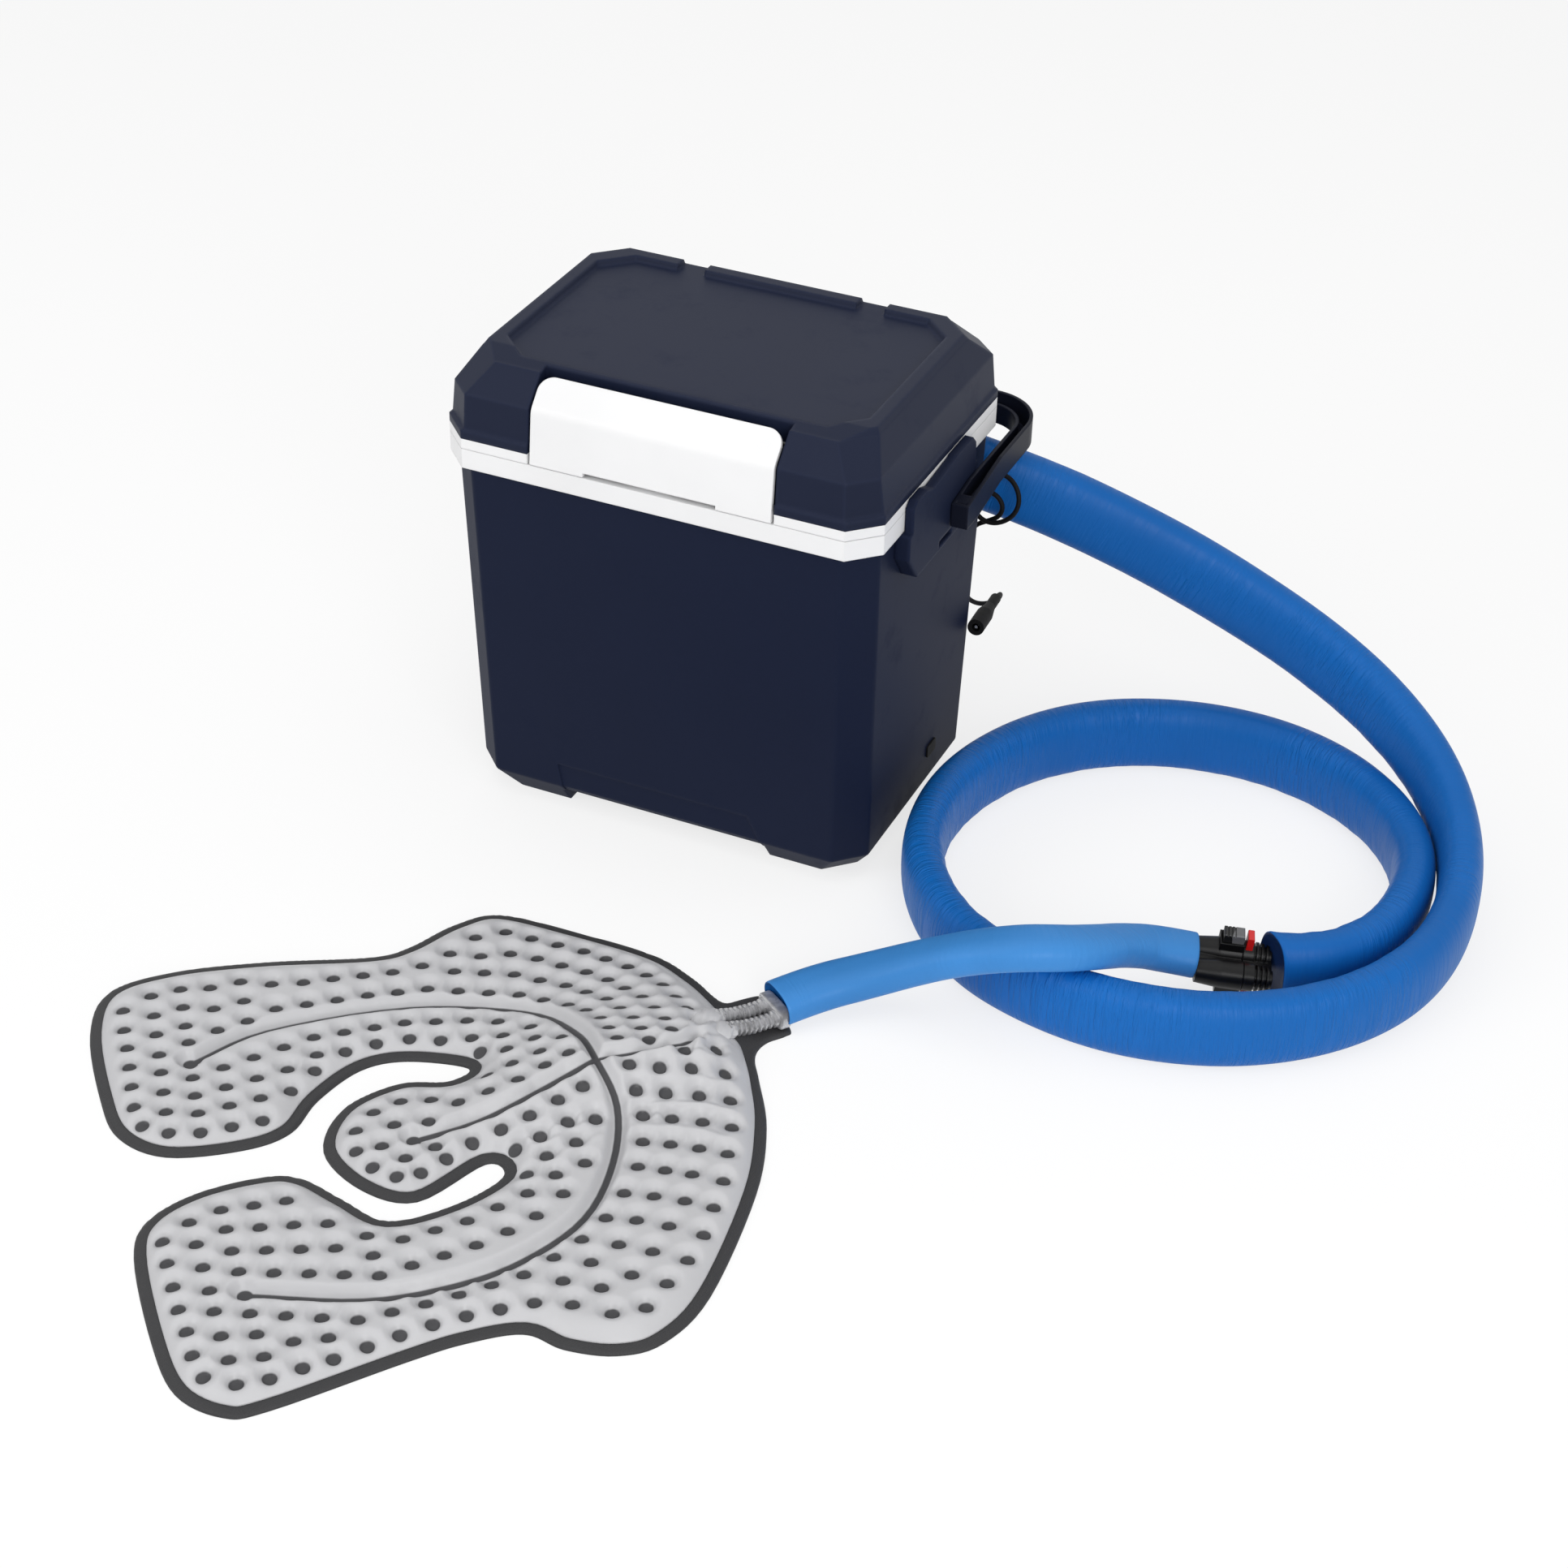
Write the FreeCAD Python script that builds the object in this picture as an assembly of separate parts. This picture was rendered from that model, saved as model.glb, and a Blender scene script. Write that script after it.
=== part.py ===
import FreeCAD, Part
import math
import os

# Hot and cold therapy machine: an insulated water box with a pump in its tub, a foam-covered
# twin hose with a quick coupling, and a horseshoe pad. Millimetres, +Z up, front towards -Y.
# The origin is the middle of the box's footprint, on the surface that it stands on.

V = FreeCAD.Vector

# ---------------------------------------------------------------- driving sizes of the box
rim_width = 290.0
rim_depth = 216.4
rim_chamfer = 17.8
skirt_bottom_z = 247.0
seam_z = 260.0
rim_plate = 3.0
skirt_wall = 3.4
skirt_gap = 0.3
shell_wall = 3.0
side_draft = 0.91
front_draft = 2.92
bevel_height = 18.0
bevel_inset = 12.0
shell_edge_radius = 3.0
foot_height = 13.7
foot_gap_half_width = 72.0
foot_side_gap_front_y = -16.0
foot_side_gap_rear_y = 57.0
finger_recess_reach = 30.0
panel_top_z = 35.5
panel_depth = 1.2
panel_left_x = -74.0
panel_right_x = 61.0

# tub and foam
foam_side = 17.0
foam_floor = 13.0
tub_wall = 2.5
tub_chamfer = 14.0
tub_bevel = 4.0
tub_bevel_inset = 3.0

# lid
lid_gap = 0.3
lid_flange = 6.7
lid_wall = 2.5
lip_height = 5.5
lip_step = 1.6
band_inset_side = 4.4
band_inset_front = 3.0
band_chamfer = 15.6
crest_z = 313.0
crest_rise = 17.0
crest_inset_side = 14.0
crest_inset_front = 19.4
crest_chamfer = 18.6
ridge_height = 3.6
ridge_width = 8.0
ridge_front_y = -62.0
ridge_gap_width = 19.0
foam_gap = 0.3
plug_depth = 14.0
plug_gap = 3.2
gasket_height = 4.0
gasket_squeeze = 0.3

# latch flap
flap_half_width = 80.0
flap_side_gap = 1.8
flap_thickness = 3.2
flap_pin_inset = 18.2
flap_pin_drop = 8.7
flap_pin_radius = 1.3
flap_knuckle_radius = 2.9
flap_swing_radius = 9.4
flap_bottom_gap = 0.8
flap_corner_radius = 10.0
slit_half_width = 44.0
slit_height = 2.6
notch_depth = 10.5
catch_height = 9.4
running_fit = 0.06

# hinge at the rear
hinge_x = 62.0
hinge_offset_y = 8.3
hinge_rise = 3.0
hinge_pin_radius = 2.0
hinge_barrel_radius = 5.0
hinge_arm_half_width = 8.0
hinge_ear_width = 4.0
hinge_side_gap = 0.4
hinge_plate = 2.6

# carry handle
handle_pivot_y = 10.0
handle_pivot_drop = 16.0
handle_gap = 0.6
handle_width = 11.0
handle_rear_gap = 20.8
handle_corner = 24.0
handle_below_pivot = 9.5
handle_above_pivot = 14.0
handle_end_reach = 9.0
handle_end_rise = 6.0
handle_slope_reach = 47.0
handle_wall = 2.2
handle_bottom_rise = 6.0
handle_inner_drop = 4.0
handle_boss_radius = 8.0
handle_pin_radius = 4.0
handle_pin_reach = 9.0

# side lugs that carry the handle
lug_proud = 6.0
lug_ear_gap = 0.6
lug_front_y = -60.0
lug_rear_y = 44.0
lug_rise = 7.0
lug_drop = 45.0
lug_foot_height = 10.0
lug_slot_length = 20.0
lug_slot_height = 4.0
lug_slot_drop = 32.5
lug_slot_y = -5.0

# drain plug low on the right wall
drain_y = 25.0
drain_z = 40.4
drain_radius = 3.5
drain_head_length = 14.0
drain_head_height = 9.0
drain_head_proud = 1.2

# pump in the tub
pump_x = 62.0
pump_y = 10.0
cup_height = 4.0
cup_radius = 6.0
cup_offset = 13.0
strainer_radius = 23.0
strainer_height = 6.0
volute_height = 16.0
volute_wall = 2.4
motor_height = 34.0
motor_radius = 20.0
impeller_radius = 14.0
impeller_height = 7.0
impeller_vane_count = 6
impeller_gap = 1.2
pump_shaft_radius = 1.5
spout_radius = 5.0
spout_offset = 26.0
spout_rise = 12.0

# water line
tube_outer_radius = 5.0
outlet_x = 72.0
outlet_low_z = 188.0
outlet_high_z = 208.0
elbow_left_x = 57.0
elbow_mouth_x = 100.0
elbow_rear_y = 134.0
elbow_half_height = 20.6
spigot_end_y = 70.0
nut_radius = 9.0
nut_height = 5.0

# foam hoses: an upright oval section and a flat one
hose_one_width = 27.0
hose_one_height = 49.0
hose_two_width = 32.0
hose_two_height = 22.0

# coupling between the hoses: two barrels side by side
coupling_centre = (382.8, -92.5, 27.0)
coupling_turn = 20.0
coupling_pitch = 5.0
coupling_roll = 10.0
barrel_spacing = 18.6
barrel_radius = 8.8
barrel_neck_radius = 7.2
barrel_back = -23.0
barrel_taper_end = -8.0
barrel_front = 5.0
barrel_bore = 6.0
insert_gap = 0.4
insert_nose = -6.5
insert_ring_end = 12.0
insert_end = 23.0
insert_ring_radius = 8.4
insert_rib_radius = 8.0
insert_core_radius = 5.6
insert_rib_width = 1.6
insert_rib_pitch = 3.0
insert_rib_count = 3
water_radius = 3.4
seal_radius = 6.0
button_back = -8.1
button_front = 4.4
button_half_width = 4.2
button_low = 11.4
button_high = 18.5
button_travel = 1.5
button_gap = 0.4
tower_wall = 1.2
tower_high = 12.3
clip_back = 6.4
clip_front = 10.4
clip_thickness = 2.2
clip_high = 17.0

# power lead
lead_radius = 1.6
lead_gland_z = 206.0
gland_radius = 6.5
gland_stem_radius = 3.0
gland_flange = 2.5
gland_reach = 9.0
jack_face = (145.8, 75.9, 106.0)
jack_tip = (141.4, 124.0, 101.2)
jack_radius = 5.6
jack_barrel_length = 21.0
jack_taper_length = 13.0
jack_neck_radius = 3.6
jack_bore_radius = 2.8
jack_bore_depth = 9.0
jack_pin_radius = 1.0

# pad
sheet_thickness = 2.4
border_width = 7.0
bladder_step_inset = 4.5
bladder_low = 5.0
bladder_high = 8.6
weld_width = 5.0
weld_depth = 6.4
dimple_radius = 4.0
dimple_margin = 5.5
swell_spread = 31.0
swell_sink = 1.5
swell_lean = (0.56, -1.07)
inlet_end = (146.0, -232.0)
inlet_heading = (-0.57, -0.82)
inlet_block_length = 9.0
inlet_block_width = 31.0
inlet_block_low = 2.4
inlet_block_high = 16.0
inlet_tube_length = 20.0
inlet_tube_radius = 4.2
inlet_rib_radius = 5.0
inlet_rib_pitch = 3.2
inlet_spacing = 13.3
inlet_tube_z = 8.0
port_length = 13.0
port_radius = 5.2

# free routes, chosen by hand: x, y, z of each corner
HOSE_ONE_ROUTE = [
    (96, 119.4, 198.8), (150, 127, 188), (216, 148, 160), (284, 162, 128), (350, 162, 99),
    (408, 144, 76), (456, 107, 55), (485, 55, 38), (494, -3, 27), (484, -60, 24.5),
    (453, -113, 24.5), (404, -151, 24.5), (347, -169, 24.5), (289, -168, 24.5),
    (232, -148, 24.5), (190, -108, 24.5), (165, -55, 24.5), (162, 6, 24.5),
    (181, 65, 24.5), (221, 113, 24.5), (275, 139, 24.5), (333, 145, 24.5),
    (387, 128, 24.5), (428, 96, 24.5), (453, 52, 24.5), (457, 5, 24.5),
    (449, -41, 24.8), (426.7, -76.5, 25), (404.3, -84.7, 25),
]
HOSE_TWO_ROUTE = [
    (361.3, -100.3, 29), (338.8, -108.5, 33), (324, -127, 46), (314, -150, 60.5), (301, -170, 69.5),
    (279, -182, 69), (250, -186, 57), (219, -187, 40), (188, -195, 26), (161.5, -211, 17.5),
    (146, -232, 13.5),
]
LEAD_ROUTE = [
    (138, 99.4, 206), (144, 105.2, 206), (152.5, 105.5, 203.5), (158.8, 103, 197.5), (161, 101, 189.5),
    (158.5, 99.5, 181), (152, 98.5, 175), (144, 98, 172), (135.5, 98.5, 173.5), (130, 100.5, 179.5),
    (131, 102.8, 187.5), (137.5, 104.2, 191.5), (145, 104.2, 189.5), (149.5, 103.5, 183),
    (147.5, 103, 175.5), (140, 103, 170.5), (131, 104, 165), (125, 105.5, 155), (121.5, 107, 141),
    (120.5, 110, 125), (120.5, 116, 108), (121.3, 125.5, 94.5), (125.5, 135, 86.5), (132.5, 141, 86),
    (138.3, 141.5, 91.5), (140.8, 135.5, 99.3), (141.4, 124, 101.2),
]
SUPPLY_ROUTE = [
    (62, 36, 70.2), (62, 36, 88), (66, 48, 118), (71, 60, 150), (72, 54, 174), (72, 60, 188), (72, 70, 188),
]
RETURN_ROUTE = [
    (72, 70, 208), (72, 58, 208), (62, 50, 203), (48, 47, 192), (38, 46, 176),
]
PUMP_LEAD_ROUTE = [
    (62, -4, 92.2), (62, -4, 109), (78, 8, 139), (92, 30, 172), (103, 60, 198), (110.5, 71.5, 206),
]
# the sheet's outline, clockwise from the middle of its upper left lobe, with the tongue under the inlet
SHEET_LEFT = [
    (-51, -213), (0, -208), (53, -208), (84, -218), (104, -229), (112.4, -231), (118, -225), (127, -216),
    (134, -215), (157, -236), (157, -243), (150, -253), (148, -263), (151, -273), (160, -287),
]
SHEET_REST = [
    (182, -324), (200, -377), (212, -461), (205, -503), (187, -522), (160, -530), (136, -529), (112, -548),
    (91, -573), (45, -634), (26, -648), (-4, -645), (-36, -619), (-80, -570), (-90, -542), (-78, -511),
    (-51, -483), (-31, -476), (-3, -481), (28, -485), (54, -458), (67, -426), (53, -420), (34, -464),
    (1, -469), (-34, -451), (-43, -415), (-26, -382), (-1, -367), (3, -351), (-32, -361), (-52, -380),
    (-60, -414), (-59, -445), (-75, -469), (-111, -493), (-144, -491), (-172, -468), (-211, -422),
    (-224, -384), (-200, -350), (-155, -317), (-102, -286), (-86, -268), (-72, -235),
]
BLADDER_LEFT = [
    (-51, -213), (0, -208), (53, -208), (84, -218), (106, -230), (124, -243), (140, -258), (152, -273),
    (164, -291),
]

# the welds that divide the bladder
ARC_WELD = [
    (-141, -422), (-117, -377), (-54, -322), (10, -295), (45, -298), (68, -315), (98, -347), (118, -391),
    (125, -439), (111, -483), (87, -516), (49, -547), (-9, -571),
]
MIDDLE_WELD = [(68, -315), (50, -359), (33, -394), (9, -424)]
INLET_WELD = [(68, -315), (90, -296), (113, -274)]
# the line along which the stiff inlet lifts the pad: x, y and the lift
SWELL_LINE = [
    (9, -424, 0), (33, -394, 4), (52, -355, 13), (67, -315, 21), (95, -288, 20), (112, -272, 12),
    (128, -254, 0),
]
# runs of evenly spaced dimples: x, y and the steps to the next corner of the run
DIMPLE_ROWS = [
    [(-34, -596, 5), (55, -562, 2), (81, -536, 2), (105, -508, 1), (117, -494, 1), (125, -475, 1),
     (132, -456, 1), (136, -435, 1), (136, -413, 1), (133, -390, 1), (126, -370, 1), (116, -350, 2),
     (88, -312, 1), (88, -287, 2), (71, -273, 2), (49, -264, 2), (21, -263, 2), (-12, -267, 2),
     (-46, -280, 1), (-66, -284, 1), (-79, -297, 3), (-122, -329, 1), (-138, -339, 1), (-156, -345, 1),
     (-169, -358, 1), (-184, -367, 1), (-196, -380, 1), (-203, -399, 0)],
    [(4, -634, 1), (23, -629, 1), (36, -618, 1), (47, -604, 1), (60, -593, 1), (70, -577, 4),
     (118, -522, 1), (132, -510, 1), (151, -503, 1), (159, -485, 1), (169, -469, 1), (171, -448, 2),
     (169, -404, 2), (157, -361, 1), (149, -340, 1), (137, -320, 1), (122, -300, 1), (111, -287, 1),
     (96, -273, 1), (78, -259, 1), (73, -237, 0)],
    [(-37, -232, 3), (15, -228, 2), (46, -230, 1), (60, -233, 1), (85, -244, 1), (106, -260, 1),
     (128, -279, 1), (142, -296, 1), (155, -316, 1), (166, -337, 2), (181, -380, 2), (190, -424, 1),
     (191, -446, 2), (187, -488, 0)],
    [(-170, -441, 3), (-143, -390, 1), (-132, -375, 1), (-123, -358, 3), (-81, -323, 2), (-52, -302, 3),
     (0, -283, 2), (31, -279, 1), (43, -279, 1), (54, -282, 2), (71, -294, 0)],
    [(-59, -569, 2), (-21, -558, 4), (48, -528, 3), (83, -485, 1), (93, -468, 1), (101, -450, 1),
     (106, -428, 1), (105, -400, 2), (80, -373, 1), (66, -358, 0)],
    [(52, -318, 1), (42, -307, 1), (21, -307, 1), (1, -311, 1), (-16, -318, 2), (-48, -336, 3),
     (-89, -371, 4), (-132, -433, 2), (-148, -469, 0)],
    [(45, -334, 2), (28, -315, 1), (10, -321, 3), (-37, -350, 1), (-51, -362, 1), (-63, -375, 1),
     (-79, -384, 1), (-87, -403, 3), (-122, -446, 2), (-136, -484, 0)],
    [(-71, -556, 1), (-53, -550, 1), (-45, -533, 2), (-14, -514, 1), (2, -505, 1), (26, -504, 1),
     (45, -498, 2), (69, -470, 2), (88, -436, 1), (95, -416, 0)],
    [(138, -489, 2), (152, -451, 2), (152, -408, 1), (148, -386, 1), (141, -365, 1), (132, -345, 2),
     (105, -307, 0)],
    [(-57, -266, 1), (-39, -260, 1), (-24, -250, 1), (-7, -247, 2), (26, -246, 1), (41, -247, 2),
     (67, -253, 0)],
    [(-16, -448, 1), (-24, -432, 1), (-23, -414, 1), (-14, -399, 1), (1, -390, 1), (16, -385, 2),
     (37, -352, 0)],
    [(-1, -458, 1), (16, -458, 1), (30, -448, 1), (37, -431, 1), (40, -412, 2), (58, -377, 0)],
    [(-118, -479, 1), (-112, -458, 3), (-75, -418, 1), (-69, -397, 0)],
    [(48, -580, 1), (33, -590, 1), (25, -606, 1), (10, -616, 1), (-9, -621, 1), (-21, -608, 0)],
    [(-192, -414, 1), (-184, -395, 1), (-173, -381, 1), (-156, -374, 1), (-144, -360, 0)],
    [(-33, -546, 3), (16, -520, 1), (37, -516, 0)],
    [(-66, -537, 1), (-56, -521, 2), (-28, -499, 0)],
    [(-181, -427, 1), (-173, -409, 1), (-162, -395, 0)],
    [(76, -423, 1), (83, -404, 1), (72, -391, 0)],
    [(13, -440, 1), (-4, -437, 1), (-7, -418, 0)],
    [(-102, -471, 2), (-76, -447, 0)],
    [(88, -266, 1), (96, -251, 0)],
    [(4, -343, 1), (18, -331, 0)],
    [(15, -356, 1), (27, -341, 0)],
    [(23, -424, 1), (9, -407, 0)],
    [(-159, -455, 1), (-151, -437, 0)],
    [(-46, -583, 1), (-27, -577, 0)],
    [(-3, -603, 1), (13, -594, 0)],
    [(-51, -245, 0)],
    [(63, -410, 0)],
    [(173, -500, 0)],
    [(73, -341, 0)],
    [(93, -364, 0)],
]


# ---------------------------------------------------------------- helpers
def save(name, shape):
    """Write one node to its own file."""
    shape.exportStep("parts/" + name + ".step")


def octagon(half_w, half_d, chamfer, z):
    """A rectangle with cut corners, as a closed wire at height z."""
    c = chamfer
    corners = [
        (-half_w + c, -half_d), (half_w - c, -half_d), (half_w, -half_d + c), (half_w, half_d - c),
        (half_w - c, half_d), (-half_w + c, half_d), (-half_w, half_d - c), (-half_w, -half_d + c),
    ]
    return Part.makePolygon([V(x, y, z) for x, y in corners + corners[:1]])


def loft(sections):
    """A solid through octagon sections, each (half width, half depth, chamfer, z)."""
    return Part.makeLoft([octagon(*section) for section in sections], True, True)


def block(x0, x1, y0, y1, z0, z1):
    """A box between two corners."""
    return Part.makeBox(x1 - x0, y1 - y0, z1 - z0, V(x0, y0, z0))


def rod(radius, start, end):
    """A cylinder between two points."""
    return Part.makeCylinder(radius, (end - start).Length, start, end - start)


def cone(r0, r1, start, end):
    """A cone frustum between two points."""
    return Part.makeCone(r0, r1, (end - start).Length, start, end - start)


def prism_x(points, x0, x1):
    """A (y, z) polygon carried along x."""
    face = Part.Face(Part.makePolygon([V(x0, y, z) for y, z in points + points[:1]]))
    return face.extrude(V(x1 - x0, 0, 0))


def prism_y(points, y0, y1):
    """An (x, z) polygon carried along y."""
    face = Part.Face(Part.makePolygon([V(x, y0, z) for x, z in points + points[:1]]))
    return face.extrude(V(0, y1 - y0, 0))


def mirrored(shape):
    """The same shape on the other side of the box."""
    return shape.mirror(V(0, 0, 0), V(1, 0, 0))


def joined(shapes):
    """Several solids fused into one."""
    result = shapes[0].fuse(shapes[1:]) if len(shapes) > 1 else shapes[0]
    return result.removeSplitter()


def rounded_edges(shape, radius, chosen):
    """Round the edges for which chosen(edge) is true."""
    return shape.makeFillet(radius, [edge for edge in shape.Edges if chosen(edge)])


# ---------------------------------------------------------------- shared shapes of the box
rim_half_w = rim_width / 2
rim_half_d = rim_depth / 2
shell_top_z = seam_z - rim_plate
shell_top_half_w = rim_half_w - skirt_wall - skirt_gap
shell_top_half_d = rim_half_d - skirt_wall - skirt_gap
band_top_z = crest_z - crest_rise
flap_pin_y = -rim_half_d + flap_pin_inset
flap_pin_z = crest_z - flap_pin_drop
catch_top_z = seam_z + catch_height
hinge_z = seam_z + hinge_rise
lug_face_x = rim_half_w + lug_proud
lug_top_z = seam_z + lug_rise
lug_bottom_z = skirt_bottom_z - lug_drop
lug_slot_z = skirt_bottom_z - lug_slot_drop
handle_pivot_z = skirt_bottom_z - handle_pivot_drop
handle_inner_x = lug_face_x + handle_gap
handle_bottom_z = handle_pivot_z - handle_below_pivot
handle_top_z = handle_pivot_z + handle_above_pivot
handle_end_y = handle_pivot_y - handle_end_reach
handle_end_top_z = handle_pivot_z + handle_end_rise
handle_slope_end_y = handle_pivot_y + handle_slope_reach


def body_section(z, inset, chamfer=rim_chamfer):
    """The box's drafted outside at height z, moved inwards by inset."""
    drop = shell_top_z - z
    half_w = shell_top_half_w - drop * math.tan(math.radians(side_draft)) - inset
    half_d = shell_top_half_d - drop * math.tan(math.radians(front_draft)) - inset
    return (half_w, half_d, chamfer, z)


def body_loft(inset, floor_z, top_z):
    """The drafted body with its bevelled base, moved inwards by inset."""
    bevel_z = max(bevel_height, floor_z + 2.0)
    foot = body_section(floor_z, inset + bevel_inset * (bevel_z - floor_z) / bevel_height)
    return loft([foot, body_section(bevel_z, inset), body_section(top_z, inset)])


def finger_recesses(grow, top_z):
    """The four recesses under the box's edges, between its feet, grown by a wall."""
    foot_half_w, foot_half_d, chamfer, z = body_section(0, bevel_inset)
    half_w = foot_gap_half_width + grow
    inner_x = foot_half_w - finger_recess_reach - grow
    inner_y = foot_half_d - finger_recess_reach - grow
    side = block(inner_x, rim_width, foot_side_gap_front_y - grow, foot_side_gap_rear_y + grow, -1, top_z)
    front = block(-half_w, half_w, -rim_depth, -inner_y, -1, top_z)
    rear = block(-half_w, half_w, inner_y, rim_depth, -1, top_z)
    return front.fuse([rear, side, mirrored(side)])


def drafted_edge(edge):
    """True for edges that climb the walls or run round the base, not those of the top."""
    box = edge.BoundBox
    return box.ZMax < shell_top_z - 1 or box.ZLength > 1


# ---------------------------------------------------------------- the box
def make_outer_shell():
    """The blow-moulded outside, with feet, shallow front panel and drain hole."""
    outside = rounded_edges(body_loft(0, 0, shell_top_z), shell_edge_radius, drafted_edge)
    skin = outside.cut(body_loft(panel_depth, 0, shell_top_z))
    panel = prism_y([(panel_left_x + 4, foot_height - 2), (panel_right_x + 11, foot_height - 2),
                     (panel_right_x, panel_top_z), (panel_left_x, panel_top_z)],
                    -rim_depth, 0)
    hollow = body_loft(shell_wall, shell_wall, shell_top_z + 1)
    hollow = hollow.cut(finger_recesses(shell_wall, foot_height + shell_wall))
    shell = outside.cut(finger_recesses(0, foot_height)).cut(skin.common(panel)).cut(hollow)
    return shell.cut(drain_hole()).cut(wall_holes())


def drain_hole():
    """The drain's bore through shell, foam and tub."""
    inner_x = rim_half_w - 2 * (shell_wall + foam_side + tub_wall)
    return rod(drain_radius + running_fit, V(rim_half_w, drain_y, drain_z), V(inner_x, drain_y, drain_z))


def corner_axis():
    """Where the power lead crosses the box's rear right corner: outside, inside, direction."""
    half_w, half_d, chamfer, z = body_section(lead_gland_z, 0)
    out = V(math.sqrt(0.5), math.sqrt(0.5), 0)
    outside = V(half_w - chamfer / 2, half_d - chamfer / 2, z)
    half_w, half_d, chamfer, z = body_section(lead_gland_z, shell_wall + foam_side + tub_wall, tub_chamfer)
    inside = V(half_w - chamfer / 2, half_d - chamfer / 2, z)
    return outside, inside, out


def wall_holes():
    """The bores through the walls for the two water tubes and the power lead."""
    outside, inside, out = corner_axis()
    holes = [rod(tube_outer_radius, V(outlet_x, spigot_end_y, z), V(outlet_x, rim_half_d, z))
             for z in (outlet_low_z, outlet_high_z)]
    return joined(holes + [rod(gland_stem_radius, inside - out * 5, outside + out * 3)])


def tub_outer(extra):
    """The outside of the white tub, down to its floor."""
    inset = shell_wall + foam_side + extra
    floor_z = foot_height + shell_wall + foam_floor + extra
    return loft([body_section(floor_z, inset + tub_bevel_inset, tub_chamfer),
                 body_section(floor_z + tub_bevel, inset, tub_chamfer),
                 body_section(shell_top_z + 1, inset, tub_chamfer)])


def make_body_insulation():
    """Foam that fills the space between the shell and the tub."""
    space = body_loft(shell_wall, shell_wall, shell_top_z)
    space = space.cut(finger_recesses(shell_wall, foot_height + shell_wall))
    foam = space.cut(tub_outer(0)).cut(drain_hole())
    return foam.cut(wall_holes())


def make_inner_liner():
    """The white tub with the rim plate and the skirt that covers the shell's top edge."""
    rim = loft([(rim_half_w, rim_half_d, rim_chamfer, skirt_bottom_z),
                (rim_half_w, rim_half_d, rim_chamfer, seam_z)])
    under = loft([body_section(skirt_bottom_z - 1, -skirt_gap), body_section(shell_top_z, -skirt_gap)])
    tub = tub_outer(0).common(block(-rim_width, rim_width, -rim_depth, rim_depth, 0, shell_top_z))
    inset = shell_wall + foam_side + tub_wall
    neck = loft([body_section(shell_top_z, inset, tub_chamfer), body_section(seam_z + 1, inset, tub_chamfer)])
    mouth = tub_outer(tub_wall).fuse(neck)
    liner = rim.cut(under).fuse(tub).cut(mouth)
    liner = liner.fuse(latch_catch())
    return liner.cut(drain_hole()).cut(wall_holes()).removeSplitter()


def make_drain_plug():
    """A rubber plug with an oblong head, pushed into the drain from outside."""
    wall_x = body_section(drain_z, 0)[0]
    half = drain_head_length / 2
    head = block(wall_x + 0.05, wall_x + drain_head_proud, drain_y - half, drain_y + half,
                 drain_z - drain_head_height / 2, drain_z + drain_head_height / 2)
    head = rounded_edges(head, 2.0, lambda edge: edge.BoundBox.XLength > 0.5)
    stem = rod(drain_radius, V(wall_x + 0.5, drain_y, drain_z),
               V(wall_x - shell_wall - foam_side - tub_wall, drain_y, drain_z))
    return head.fuse(stem).removeSplitter()


# ---------------------------------------------------------------- lid
lid_bottom_z = seam_z + lid_gap
lid_shell_z = lid_bottom_z + lid_flange


def lid_sections(inset, drop):
    """The navy lid's outside, moved inwards by inset and down by drop."""
    lip = lid_shell_z + lip_height
    return [
        (rim_half_w - inset, rim_half_d - inset, rim_chamfer, lid_shell_z - (1 if drop else 0)),
        (rim_half_w - inset, rim_half_d - inset, rim_chamfer, lip),
        (rim_half_w - lip_step - inset, rim_half_d - lip_step - inset, rim_chamfer, lip + lip_step * 0.6),
        (rim_half_w - band_inset_side - inset, rim_half_d - band_inset_front - inset, band_chamfer,
         band_top_z - drop * 0.5),
        (rim_half_w - crest_inset_side - inset, rim_half_d - crest_inset_front - inset, crest_chamfer,
         crest_z - drop),
    ]


def notch_profile(grow):
    """The (y, z) outline of the recess behind the flap, grown by a wall."""
    front = -rim_half_d - 20
    back_low = -rim_half_d + notch_depth + grow
    back_high = flap_pin_y + flap_swing_radius + grow
    return [(front, lid_shell_z - 2), (back_low, lid_shell_z - 2), (back_low, band_top_z - 8 - grow),
            (back_high, flap_pin_z - 5 - grow), (back_high, crest_z + 20), (front, crest_z + 20)]


def notch(grow):
    """The recess in the lid's front that holds the flap."""
    half_w = flap_half_width + flap_side_gap + grow
    return prism_x(notch_profile(grow), -half_w, half_w)


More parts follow.
